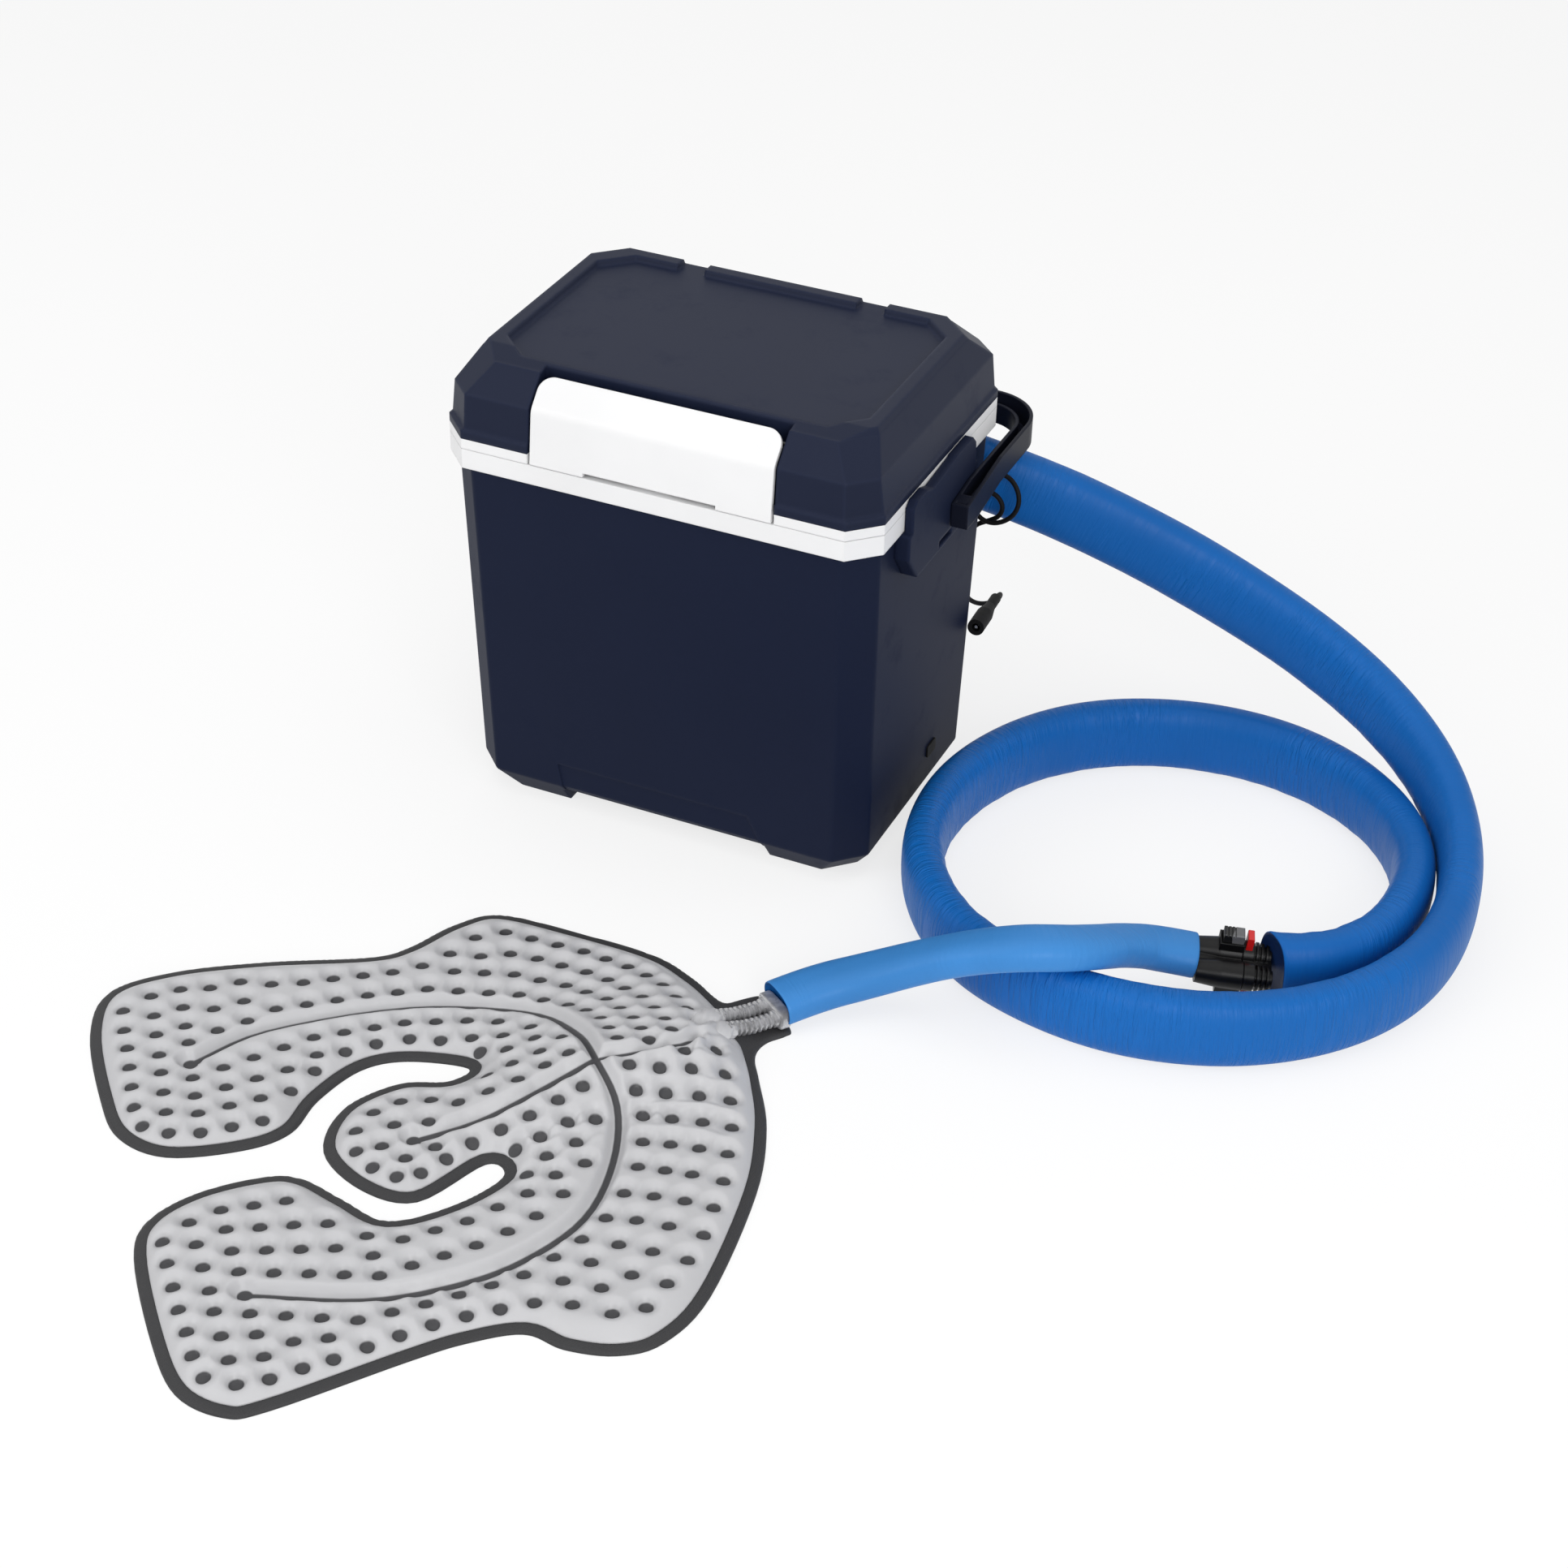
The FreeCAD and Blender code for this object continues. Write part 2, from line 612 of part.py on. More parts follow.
def ridge():
    """The raised border of the lid's top, open at the front and gapped over the hinges."""
    half_w = rim_half_w - crest_inset_side
    half_d = rim_half_d - crest_inset_front
    slope = ridge_height * 0.7
    base_z = crest_z - 1.0
    outer = loft([(half_w - 0.2, half_d - 0.2, crest_chamfer, base_z),
                  (half_w - 0.2, half_d - 0.2, crest_chamfer, crest_z),
                  (half_w - slope, half_d - slope, crest_chamfer, crest_z + ridge_height)])
    inner_w = half_w - ridge_width - slope
    inner_d = half_d - ridge_width - slope
    inner = loft([(inner_w - slope, inner_d - slope, crest_chamfer, base_z - 1),
                  (inner_w, inner_d, crest_chamfer, crest_z + ridge_height + 1)])
    band = outer.cut(inner)
    ramp = prism_x([(-rim_depth, base_z - 2), (ridge_front_y, base_z - 2),
                    (ridge_front_y, crest_z + ridge_height + 2),
                    (ridge_front_y - 1, crest_z + ridge_height + 2), (-half_d + 2, crest_z - 0.5),
                    (-rim_depth, crest_z - 0.5)], -rim_width, rim_width)
    keep = prism_x([(-half_d + 2, base_z - 2), (rim_depth, base_z - 2),
                    (rim_depth, crest_z + ridge_height + 2),
                    (ridge_front_y, crest_z + ridge_height + 2),
                    (-half_d + 2, crest_z)], -rim_width, rim_width)
    band = band.common(keep)
    gap = ridge_gap_width / 2
    for x in (-hinge_x, hinge_x):
        band = band.cut(block(x - gap, x + gap, 0, rim_depth, crest_z, crest_z + 20))
    return band


def make_lid_shell():
    """The navy lid: flange lip, near-upright band, sloped band, top with its ridge."""
    outside = loft(lid_sections(0, 0))
    outside = outside.fuse(ridge()).cut(notch(0))
    inside = loft(lid_sections(lid_wall, lid_wall)).cut(notch(lid_wall))
    pins = rod(flap_pin_radius + running_fit, V(-flap_half_width - 12, flap_pin_y, flap_pin_z),
               V(flap_half_width + 12, flap_pin_y, flap_pin_z))
    return outside.cut(inside).cut(pins).removeSplitter()


def make_lid_insulation():
    """Foam inside the lid."""
    foam = loft(lid_sections(lid_wall + foam_gap, lid_wall + foam_gap)).cut(notch(lid_wall + foam_gap))
    foam = foam.common(block(-rim_width, rim_width, -rim_depth, rim_depth, lid_shell_z, crest_z + 20))
    pin_ends = rod(flap_pin_radius + 1, V(-flap_half_width - 13, flap_pin_y, flap_pin_z),
                   V(flap_half_width + 13, flap_pin_y, flap_pin_z))
    return foam.cut(pin_ends)


def plug_section(z, inset):
    """The lid's plug, clear of the tub's mouth all round."""
    return body_section(z, shell_wall + foam_side + tub_wall + plug_gap + inset, tub_chamfer)


def make_lid_liner():
    """The white underside of the lid: flange, plug into the tub's mouth and gasket groove."""
    flange = loft([(rim_half_w, rim_half_d, rim_chamfer, lid_bottom_z),
                   (rim_half_w, rim_half_d, rim_chamfer, lid_shell_z)])
    low_z = lid_bottom_z - plug_depth
    plug = loft([plug_section(low_z, 4), plug_section(low_z + 4, 0), plug_section(lid_bottom_z, 0)])
    liner = flange.fuse(plug).cut(gasket_groove())
    pocket_half = flap_half_width + flap_side_gap
    pocket = block(-pocket_half, pocket_half, -rim_depth, -rim_half_d + notch_depth, lid_bottom_z - 1,
                   lid_shell_z + 1)
    return liner.cut(pocket).removeSplitter()


def gasket_ring(inset, out, z0, z1):
    """A ring round the plug between two heights."""
    outer = loft([plug_section(z0, -out), plug_section(z1, -out)])
    return outer.cut(loft([plug_section(z0 - 1, inset), plug_section(z1 + 1, inset)]))


def gasket_groove():
    """The groove that the gasket sits in."""
    return gasket_ring(2.0, 1.0, lid_bottom_z - gasket_height - 1, lid_bottom_z - 1)


def make_lid_gasket():
    """The soft ring that closes the gap between plug and tub."""
    return gasket_ring(2.0, plug_gap - gasket_squeeze - 0.2, lid_bottom_z - gasket_height - 1,
                       lid_bottom_z - 1)


# ---------------------------------------------------------------- hinge
hinge_y = rim_half_d + hinge_offset_y


def hinge_pair(make):
    """The same piece at both hinges, as one node."""
    return Part.makeCompound([make(-hinge_x), make(hinge_x)])


def hinge_bracket(x):
    """A plate on the rim's rear face with two ears that hold the pin."""
    half = hinge_arm_half_width + hinge_side_gap + hinge_ear_width
    plate = block(x - half, x + half, rim_half_d, rim_half_d + hinge_plate, skirt_bottom_z, seam_z)
    bores = rod(hinge_pin_radius + running_fit, V(x - half - 1, hinge_y, hinge_z),
                V(x + half + 1, hinge_y, hinge_z))
    ears = []
    for inner in (x - half, x + half - hinge_ear_width):
        ear = prism_x([(rim_half_d + 0.4, skirt_bottom_z), (rim_half_d + hinge_plate + 2, skirt_bottom_z),
                       (hinge_y + hinge_barrel_radius, hinge_z - 2), (hinge_y, hinge_z),
                       (rim_half_d + 0.4, hinge_z)], inner, inner + hinge_ear_width)
        disc = rod(hinge_barrel_radius, V(inner, hinge_y, hinge_z),
                   V(inner + hinge_ear_width, hinge_y, hinge_z))
        ears.append(ear.fuse(disc))
    return joined([plate] + ears).cut(bores)


def hinge_arm(x):
    """The lid's arm: a tongue on its rear face that ends in the barrel."""
    half = hinge_arm_half_width
    barrel = rod(hinge_barrel_radius, V(x - half, hinge_y, hinge_z), V(x + half, hinge_y, hinge_z))
    tongue = prism_x([(rim_half_d, lid_bottom_z + 0.5), (hinge_y, hinge_z),
                      (hinge_y + hinge_barrel_radius, hinge_z),
                      (rim_half_d + 2, lid_shell_z + lip_height), (rim_half_d, lid_shell_z + lip_height)],
                     x - half, x + half)
    bore = rod(hinge_pin_radius + running_fit, V(x - half - 1, hinge_y, hinge_z),
               V(x + half + 1, hinge_y, hinge_z))
    return barrel.fuse(tongue).cut(bore).removeSplitter()


def hinge_pin(x):
    """The steel pin through ears and barrel."""
    half = hinge_arm_half_width + hinge_side_gap + hinge_ear_width
    return rod(hinge_pin_radius, V(x - half, hinge_y, hinge_z), V(x + half, hinge_y, hinge_z))


# ---------------------------------------------------------------- latch flap
def flap_outer_curve(offset):
    """The flap's (y, z) side profile, moved inwards by offset, as points from top to bottom."""
    top_y = -rim_half_d + crest_inset_front
    bend_y = -rim_half_d + band_inset_front
    slope = math.atan2(crest_z - band_top_z, top_y - bend_y)
    out = V(0, -math.sin(slope), math.cos(slope))
    top = V(0, top_y - 1.0, crest_z - 1.0 + 0.8) - out * offset
    bend = V(0, bend_y, band_top_z) + V(0, offset, -offset * math.tan(slope / 2) * 0.6)
    low = V(0, -rim_half_d - 0.6 + offset, seam_z + flap_bottom_gap)
    return top, bend, low


def flap_blank():
    """The flap's curved plate before its corners are rounded."""
    top_o, bend_o, low_o = flap_outer_curve(0)
    top_i, bend_i, low_i = flap_outer_curve(flap_thickness)
    points = [top_o, bend_o, low_o, low_i, bend_i, top_i]
    plate = prism_x([(p.y, p.z) for p in points], -flap_half_width, flap_half_width)
    bends = [e for e in plate.Edges if e.BoundBox.XLength > 10 and abs(e.CenterOfMass.z - band_top_z) < 6]
    return plate.makeFillet(9.0, bends)


def make_latch_flap():
    """The white flap with rounded top corners, a finger slit, two knuckles and a hook."""
    flap = flap_blank()
    corners = [e for e in flap.Edges if e.BoundBox.XLength < 0.01 and e.BoundBox.ZMin > band_top_z + 5
               and e.Length < flap_thickness + 1]
    flap = flap.makeFillet(flap_corner_radius, corners)
    slit = block(-slit_half_width, slit_half_width, -rim_depth, 0, seam_z - 1,
                 seam_z + flap_bottom_gap + slit_height)
    flap = flap.cut(slit)
    for start in (-flap_half_width + 12, -6, flap_half_width - 24):
        knuckle = rod(flap_knuckle_radius, V(start, flap_pin_y, flap_pin_z),
                      V(start + 12, flap_pin_y, flap_pin_z))
        flap = flap.fuse(knuckle)
    hook_z = catch_top_z - 4.2
    hook = block(-14, 14, -rim_half_d + 1.5, catch_front_y() - 0.4, hook_z, hook_z + 1.8)
    bore = rod(flap_pin_radius + running_fit, V(-rim_width, flap_pin_y, flap_pin_z),
               V(rim_width, flap_pin_y, flap_pin_z))
    return flap.fuse(hook).cut(bore).removeSplitter()


def make_latch_pin():
    """The steel rod that the flap turns on, held in the recess's side walls."""
    reach = flap_half_width + flap_side_gap + lid_wall
    return rod(flap_pin_radius, V(-reach, flap_pin_y, flap_pin_z), V(reach, flap_pin_y, flap_pin_z))


def catch_front_y():
    """The front of the catch's bead on the rim."""
    return -rim_half_d + 6.0


def latch_catch():
    """The upstand on the rim that the flap's hook snaps over."""
    front = catch_front_y()
    stem = block(-12, 12, front + 1.2, front + 3.2, seam_z - 1, catch_top_z)
    bead = block(-12, 12, front, front + 3.2, catch_top_z - 2, catch_top_z)
    return stem.fuse(bead)


# ---------------------------------------------------------------- handle and its lugs
def u_band(inner_x, outer_x, inner_y, outer_y, corner, z0, z1):
    """A flat U seen from above, open to the front, between two rounded rectangles."""
    def rounded(half_w, far_y, radius):
        back = -3 * rim_depth
        body = block(-half_w, half_w, back, far_y, z0, z1)
        return rounded_edges(body, radius, lambda e: e.BoundBox.ZLength > 1 and e.CenterOfMass.y > 0)
    outer = rounded(outer_x, outer_y, corner + outer_x - inner_x)
    band = outer.cut(rounded(inner_x, inner_y, corner))
    return band.common(block(-rim_width, rim_width, handle_end_y, rim_depth * 2, z0, z1))


def make_carry_handle():
    """A U-shaped channel strap, folded to the rear, with bosses at its pivots."""
    inner_x = handle_inner_x
    outer_x = handle_inner_x + handle_width
    inner_y = rim_half_d + handle_rear_gap
    outer_y = inner_y + handle_width
    strap = u_band(inner_x, outer_x, inner_y, outer_y, handle_corner, handle_bottom_z, handle_top_z)
    bottom_z = handle_bottom_z + handle_bottom_rise
    pocket = u_band(inner_x + handle_wall, outer_x - handle_wall, inner_y + handle_wall, outer_y - handle_wall,
                    handle_corner + handle_wall, bottom_z + handle_wall, handle_top_z + 1)
    step = u_band(inner_x - 1, inner_x + handle_wall + 1, inner_y - 1, inner_y + handle_wall + 1,
                  handle_corner, handle_top_z - handle_inner_drop, handle_top_z + 1)
    top_cut = prism_x([(handle_end_y - 1, handle_end_top_z), (handle_slope_end_y, handle_top_z),
                       (handle_slope_end_y, handle_top_z + 2), (handle_end_y - 1, handle_top_z + 2)],
                      -rim_width, rim_width)
    end_wall_y = handle_end_y + handle_wall
    under_start_y = handle_pivot_y + handle_boss_radius
    under_cut = prism_x([(under_start_y, handle_bottom_z - 1), (under_start_y, handle_bottom_z),
                         (handle_slope_end_y, bottom_z), (outer_y + 1, bottom_z),
                         (outer_y + 1, handle_bottom_z - 1)], -rim_width, rim_width)
    arms_end = u_band(inner_x, outer_x, inner_y, outer_y, handle_corner, handle_bottom_z, handle_top_z)
    arms_end = arms_end.common(block(-rim_width, rim_width, handle_end_y, end_wall_y, 0, handle_top_z))
    boss = rod(handle_boss_radius, V(inner_x, handle_pivot_y, handle_pivot_z),
               V(outer_x - 1, handle_pivot_y, handle_pivot_z))
    strap = strap.cut(pocket).cut(step).fuse(arms_end).fuse([boss, mirrored(boss)])
    strap = strap.cut(top_cut).cut(under_cut)
    reach = handle_inner_x + handle_pin_reach + 0.5
    bore = rod(handle_pin_radius + running_fit, V(inner_x - 1, handle_pivot_y, handle_pivot_z),
               V(reach, handle_pivot_y, handle_pivot_z))
    return strap.cut(bore).cut(mirrored(bore)).removeSplitter()


def make_handle_pin():
    """One pivot pin: it sits in the lug and carries the handle's boss."""
    return rod(handle_pin_radius, V(rim_half_w + lug_ear_gap, handle_pivot_y, handle_pivot_z),
               V(handle_inner_x + handle_pin_reach, handle_pivot_y, handle_pivot_z))


def make_handle_lug():
    """The right lug: a tapered body on the wall and an ear that rises past the rim."""
    below = prism_x([(lug_front_y - 4, skirt_bottom_z - 0.4), (lug_front_y - 4, lug_bottom_z + 28),
                     (lug_front_y + 10, lug_bottom_z + 10), (lug_front_y + 34, lug_bottom_z + 1),
                     (lug_rear_y - 42, lug_bottom_z), (lug_rear_y - 16, lug_bottom_z + 5),
                     (lug_rear_y - 2, lug_bottom_z + 16), (lug_rear_y, skirt_bottom_z - 0.4)],
                    rim_half_w - 16, lug_face_x)
    ear = prism_x([(lug_front_y, lug_bottom_z + 24), (lug_front_y, lug_top_z - 4),
                   (lug_front_y + 5, lug_top_z), (lug_front_y + 20, lug_top_z),
                   (lug_front_y + 30, lug_top_z - 3.5), (lug_rear_y - 40, lug_top_z - 1),
                   (lug_rear_y - 36, lug_top_z), (lug_rear_y - 10, lug_top_z),
                   (lug_rear_y - 4, lug_top_z - 6),
                   (lug_rear_y, lug_bottom_z + 30)],
                  rim_half_w + lug_ear_gap, lug_face_x)
    wedge = prism_y([(rim_half_w - 8, lug_bottom_z - 6), (lug_face_x + 4, lug_bottom_z - 6),
                     (lug_face_x + 4, lug_bottom_z + lug_foot_height + 6),
                     (lug_face_x, lug_bottom_z + lug_foot_height)], -rim_depth, rim_depth)
    lug = below.fuse(ear).removeSplitter().cut(wedge).cut(body_loft(0, 0, shell_top_z))
    half = lug_slot_length / 2
    slot = block(lug_face_x - 7, lug_face_x + 5, lug_slot_y - half, lug_slot_y + half,
                 lug_slot_z, lug_slot_z + lug_slot_height)
    bore = rod(handle_pin_radius + running_fit,
               V(rim_half_w + lug_ear_gap - 2, handle_pivot_y, handle_pivot_z),
               V(lug_face_x + 2, handle_pivot_y, handle_pivot_z))
    return lug.cut(slot).cut(bore).removeSplitter()


# ---------------------------------------------------------------- pump
tub_floor_z = foot_height + shell_wall + foam_floor + tub_wall
strainer_z = tub_floor_z + cup_height
volute_z = strainer_z + strainer_height
motor_z = volute_z + volute_height
pump_base = V(pump_x, pump_y, 0)


def pump_rod(radius, z0, z1, dx=0.0, dy=0.0):
    """A cylinder along the pump's axis, or beside it."""
    return rod(radius, pump_base + V(dx, dy, z0), pump_base + V(dx, dy, z1))


def make_suction_cups():
    """Four rubber cups under the pump."""
    cups = []
    for index in range(4):
        turn = math.radians(45 + 90 * index)
        dx = cup_offset * math.cos(turn)
        dy = cup_offset * math.sin(turn)
        skirt = cone(cup_radius, cup_radius * 0.5, pump_base + V(dx, dy, tub_floor_z),
                     pump_base + V(dx, dy, strainer_z - 1.2))
        stem = pump_rod(cup_radius * 0.5, strainer_z - 1.2, strainer_z, dx, dy)
        cups.append(skirt.fuse(stem))
    return Part.makeCompound(cups)


def make_strainer():
    """The slotted cover that keeps ice out of the impeller."""
    cover = pump_rod(strainer_radius, strainer_z, volute_z).cut(
        pump_rod(strainer_radius - volute_wall, strainer_z + volute_wall, volute_z + 1))
    for index in range(8):
        slot = block(strainer_radius - 2 * volute_wall, strainer_radius + 2, -1.5, 1.5,
                     strainer_z + volute_wall, volute_z - 1)
        slot.rotate(V(0, 0, 0), V(0, 0, 1), 45 * index + 22.5)
        slot.translate(V(pump_x, pump_y, 0))
        cover = cover.cut(slot)
    return cover


def make_volute():
    """The impeller's housing with its eye, upright spout and the seat for the shaft."""
    case = pump_rod(motor_radius + 2, volute_z, motor_z)
    bridge = block(pump_x - spout_radius, pump_x + spout_radius, pump_y + motor_radius - 2,
                   pump_y + spout_offset, volute_z + 2, motor_z)
    spout = pump_rod(spout_radius, volute_z + 2, motor_z + spout_rise, 0, spout_offset)
    chamber = pump_rod(motor_radius + 2 - volute_wall, volute_z + volute_wall, motor_z + 1)
    chamber = chamber.fuse(pump_rod(water_radius, volute_z + 5, motor_z + spout_rise + 1, 0, spout_offset))
    middle_z = volute_z + volute_height / 2
    chamber = chamber.fuse(rod(water_radius, pump_base + V(0, motor_radius - 2, middle_z),
                               pump_base + V(0, spout_offset, middle_z)))
    eye = pump_rod(6, volute_z - 1, volute_z + volute_wall + 1)
    spoke = block(pump_x - 7, pump_x + 7, pump_y - 1.5, pump_y + 1.5, volute_z, volute_z + volute_wall)
    hub = pump_rod(pump_shaft_radius + 1.5, volute_z, volute_z + volute_wall)
    seat = pump_rod(pump_shaft_radius + running_fit, volute_z - 1, volute_z + volute_wall + 1)
    case = case.fuse([bridge, spout]).cut(chamber).cut(eye)
    return case.fuse([spoke, hub]).cut(seat).removeSplitter()


def make_impeller():
    """The rotor: a disc with vanes and the magnet sleeve that reaches up into the motor."""
    base_z = volute_z + volute_wall + impeller_gap
    disc = pump_rod(impeller_radius, base_z + impeller_height - 1.6, base_z + impeller_height)
    sleeve = pump_rod(6.5, base_z + impeller_height - 0.5, motor_z + 18)
    vanes = []
    for index in range(impeller_vane_count):
        vane = block(3.0, impeller_radius, -0.8, 0.8, base_z, base_z + impeller_height - 1)
        vane.rotate(V(0, 0, 0), V(0, 0, 1), 360 / impeller_vane_count * index)
        vane.translate(V(pump_x, pump_y, 0))
        vanes.append(vane)
    hub = pump_rod(3.6, base_z, base_z + impeller_height)
    bore = pump_rod(pump_shaft_radius + running_fit, base_z - 1, motor_z + 20)
    return joined([disc, sleeve, hub] + vanes).cut(bore)


def make_pump_shaft():
    """The fixed ceramic shaft that the rotor turns on."""
    return pump_rod(pump_shaft_radius, volute_z, motor_z + 22)


def make_motor_can():
    """The sealed stator housing over the rotor."""
    can = pump_rod(motor_radius, motor_z, motor_z + motor_height)
    can = rounded_edges(can, 3.0, lambda e: e.BoundBox.ZMin > motor_z + motor_height - 1)
    well = pump_rod(7.2, motor_z - 1, motor_z + 20)
    seat = pump_rod(pump_shaft_radius + running_fit, motor_z + 19, motor_z + 22.5)
    return can.cut(well).cut(seat)


# ---------------------------------------------------------------- routes: runs joined by arcs
def route_wire(points, radii_name):
    """Straight runs joined by tangent arcs, each as large as its two runs allow."""
    corners = [V(*point) for point in points]
    edges = []
    radii = []
    last = corners[0]
    for before, corner, after in zip(corners, corners[1:], corners[2:]):
        incoming = (corner - before)
        outgoing = (after - corner)
        reach = 0.45 * min(incoming.Length, outgoing.Length)
        half_turn = incoming.getAngle(outgoing) / 2
        radii.append(reach / math.tan(half_turn))
        start = corner - incoming.normalize() * reach
        end = corner + outgoing.normalize() * reach
        sag = reach / math.tan(half_turn) * (1 / math.cos(half_turn) - 1)
        middle = corner + (start + end - corner * 2).normalize() * sag
        edges.append(Part.LineSegment(last, start).toShape())
        edges.append(Part.Arc(start, middle, end).toShape())
        last = end
    edges.append(Part.LineSegment(last, corners[-1]).toShape())
    wire = Part.Wire(edges)
    print(radii_name, "length %.0f" % wire.Length, "radii", [round(r) for r in radii])
    return wire


def oval_face(width, height, start, heading):
    """A face with round ends, upright or flat, square to the heading."""
    side = heading.cross(V(0, 0, 1)).normalize()
    up = side.cross(heading).normalize()
    long_axis, short = (up, side) if height > width else (side, up)
    radius = min(width, height) / 2
    half = abs(height - width) / 2
    a = start + long_axis * half
    b = start - long_axis * half
    edges = [
        Part.Arc(a + short * radius, a + long_axis * radius, a - short * radius).toShape(),
        Part.LineSegment(a - short * radius, b - short * radius).toShape(),
        Part.Arc(b - short * radius, b - long_axis * radius, b + short * radius).toShape(),
        Part.LineSegment(b + short * radius, a + short * radius).toShape(),
    ]
    return Part.Wire(edges)


def swept_oval(points, width, height, name):
    """A foam hose: the oval carried along its route."""
    wire = route_wire(points, name)
    start = V(*points[0])
    heading = V(*points[1]) - start
    solid = wire.makePipeShell([oval_face(width, height, start, heading)], True, False)
    radius = min(width, height) / 2
    area = math.pi * radius ** 2 + 2 * radius * abs(height - width)
    print(name, "volume ratio %.4f" % (solid.Volume / (area * wire.Length)), "low %.2f" % solid.BoundBox.ZMin)
    return solid


def make_hose_one():
    """The first hose, trimmed flush with the elbow's mouth and with the coupling."""
    sleeve = swept_oval(HOSE_ONE_ROUTE, hose_one_width, hose_one_height, "hose 1")
    elbow_side = block(elbow_left_x, elbow_mouth_x, elbow_rear_y - 2 * hose_one_height,
                       elbow_rear_y + hose_one_height,
                       outlet_low_z - hose_one_height, outlet_high_z + hose_one_height)
    reach = hose_one_height
    coupling_side = placed_on_coupling(block(insert_end - reach, insert_end, -reach, reach, -reach, reach))
    return sleeve.cut(elbow_side).cut(coupling_side)


def make_hose_two():
    """The second hose, trimmed flush with the coupling and with the inlet block."""
    sleeve = swept_oval(HOSE_TWO_ROUTE, hose_two_width, hose_two_height, "hose 2")
    reach = hose_two_width
    coupling_side = placed_on_coupling(block(barrel_back, barrel_back + reach, -reach, reach, -reach, reach))
    corners = [inlet_point(along, across, -reach)
               for along, across in ((0, -reach), (reach, -reach), (reach, reach), (0, reach), (0, -reach))]
    block_side = Part.Face(Part.makePolygon(corners)).extrude(V(0, 0, 3 * reach))
    return sleeve.cut(coupling_side).cut(block_side)


def swept_tube(points, radius, name):
    """A round lead or tube along its route."""
    wire = route_wire(points, name)
    start = V(*points[0])
    heading = V(*points[1]) - start
    ring = Part.Wire([Part.Circle(start, heading, radius).toShape()])
    solid = wire.makePipeShell([ring], True, False)
    print(name, "volume ratio %.4f" % (solid.Volume / (math.pi * radius ** 2 * wire.Length)))
    return solid


# ---------------------------------------------------------------- water line inside and outlet
def rear_wall_y(z):
    """The shell's rear face at height z."""
    return body_section(z, 0)[1]


def water_tube(points, name):
    """A clear tube inside the tub, open at both ends."""
    return swept_tube(points, tube_outer_radius, name).cut(swept_tube(points, water_radius, name))


def make_outlet_elbow():
    """The moulded elbow outside the rear wall, with two spigots that reach into the tub."""
    low = (outlet_low_z + outlet_high_z) / 2 - elbow_half_height
    high = low + 2 * elbow_half_height
    start_y = rear_wall_y(high)
    body = block(elbow_left_x, elbow_mouth_x, start_y - 6, elbow_rear_y, low, high)
    body = rounded_edges(body, 6.0, lambda e: e.CenterOfMass.y > start_y + 1 and
                         e.CenterOfMass.x < elbow_mouth_x - 1)
    body = body.cut(body_loft(0, 0, shell_top_z))
    middle_y = HOSE_ONE_ROUTE[0][1]
    for z in (outlet_low_z, outlet_high_z):
        body = body.fuse(rod(tube_outer_radius, V(outlet_x, spigot_end_y, z), V(outlet_x, middle_y, z)))
    for z in (outlet_low_z, outlet_high_z):
        body = body.cut(rod(water_radius, V(outlet_x, spigot_end_y - 1, z), V(outlet_x, middle_y, z)))
        body = body.cut(rod(water_radius, V(outlet_x - water_radius, middle_y, z),
                            V(elbow_mouth_x + 1, middle_y, z)))
    return body.removeSplitter()


def make_bulkhead_nuts():
    """Two nuts inside the tub that clamp the elbow to the wall."""
    wall_y = rear_wall_y(outlet_low_z) - shell_wall - foam_side - tub_wall
    nuts = []
    for z in (outlet_low_z, outlet_high_z):
        nut = rod(nut_radius, V(outlet_x, wall_y - nut_height, z), V(outlet_x, wall_y, z))
        nuts.append(nut.cut(rod(tube_outer_radius, V(outlet_x, wall_y - 20, z), V(outlet_x, wall_y + 5, z))))
    return Part.makeCompound(nuts).cut(tub_solid())


def tub_solid():
    """The tub's wall material above its floor, for trimming pieces that seat on it."""
    return tub_outer(0).cut(tub_outer(tub_wall))


# ---------------------------------------------------------------- power lead
def make_power_gland():
    """The rubber gland on the rear right corner with its tapered nose."""
    outside, inside, out = corner_axis()
    stem = rod(gland_stem_radius, inside, outside + out * gland_flange)
    flange = rod(gland_radius, outside - out * 2, outside + out * gland_flange)
    nose = cone(gland_radius - 1.5, lead_radius + 1, outside + out * gland_flange,
                outside + out * gland_reach)
    return flange.cut(body_loft(0, 0, shell_top_z)).fuse([stem, nose]).removeSplitter()


def jack_axis():
    """The jack's face, its cable end and the direction between them."""
    face = V(*jack_face)
    tip = V(*jack_tip)
    return face, tip, (tip - face).normalize()


def make_power_jack():
    """The lead's end: a round socket body that tapers into its strain relief."""
    face, tip, along = jack_axis()
    taper = face + along * jack_barrel_length
    neck = taper + along * jack_taper_length
    body = rod(jack_radius, face, taper).fuse([cone(jack_radius, jack_neck_radius, taper, neck),
                                               rod(jack_neck_radius, neck, tip)])
    return body.cut(rod(jack_bore_radius, face - along, face + along * jack_bore_depth)).removeSplitter()


def make_jack_pin():
    """The steel contact in the middle of the socket."""
    face, tip, along = jack_axis()
    return rod(jack_pin_radius, face + along, face + along * jack_bore_depth)


# ---------------------------------------------------------------- coupling
def placed_on_coupling(shape):
    """Turn a piece from the coupling's own frame into the part's frame."""
    shape = shape.copy()
    shape.rotate(V(0, 0, 0), V(1, 0, 0), coupling_roll)
    shape.rotate(V(0, 0, 0), V(0, 1, 0), coupling_pitch)
    shape.rotate(V(0, 0, 0), V(0, 0, 1), coupling_turn)
    shape.translate(V(*coupling_centre))
    return shape


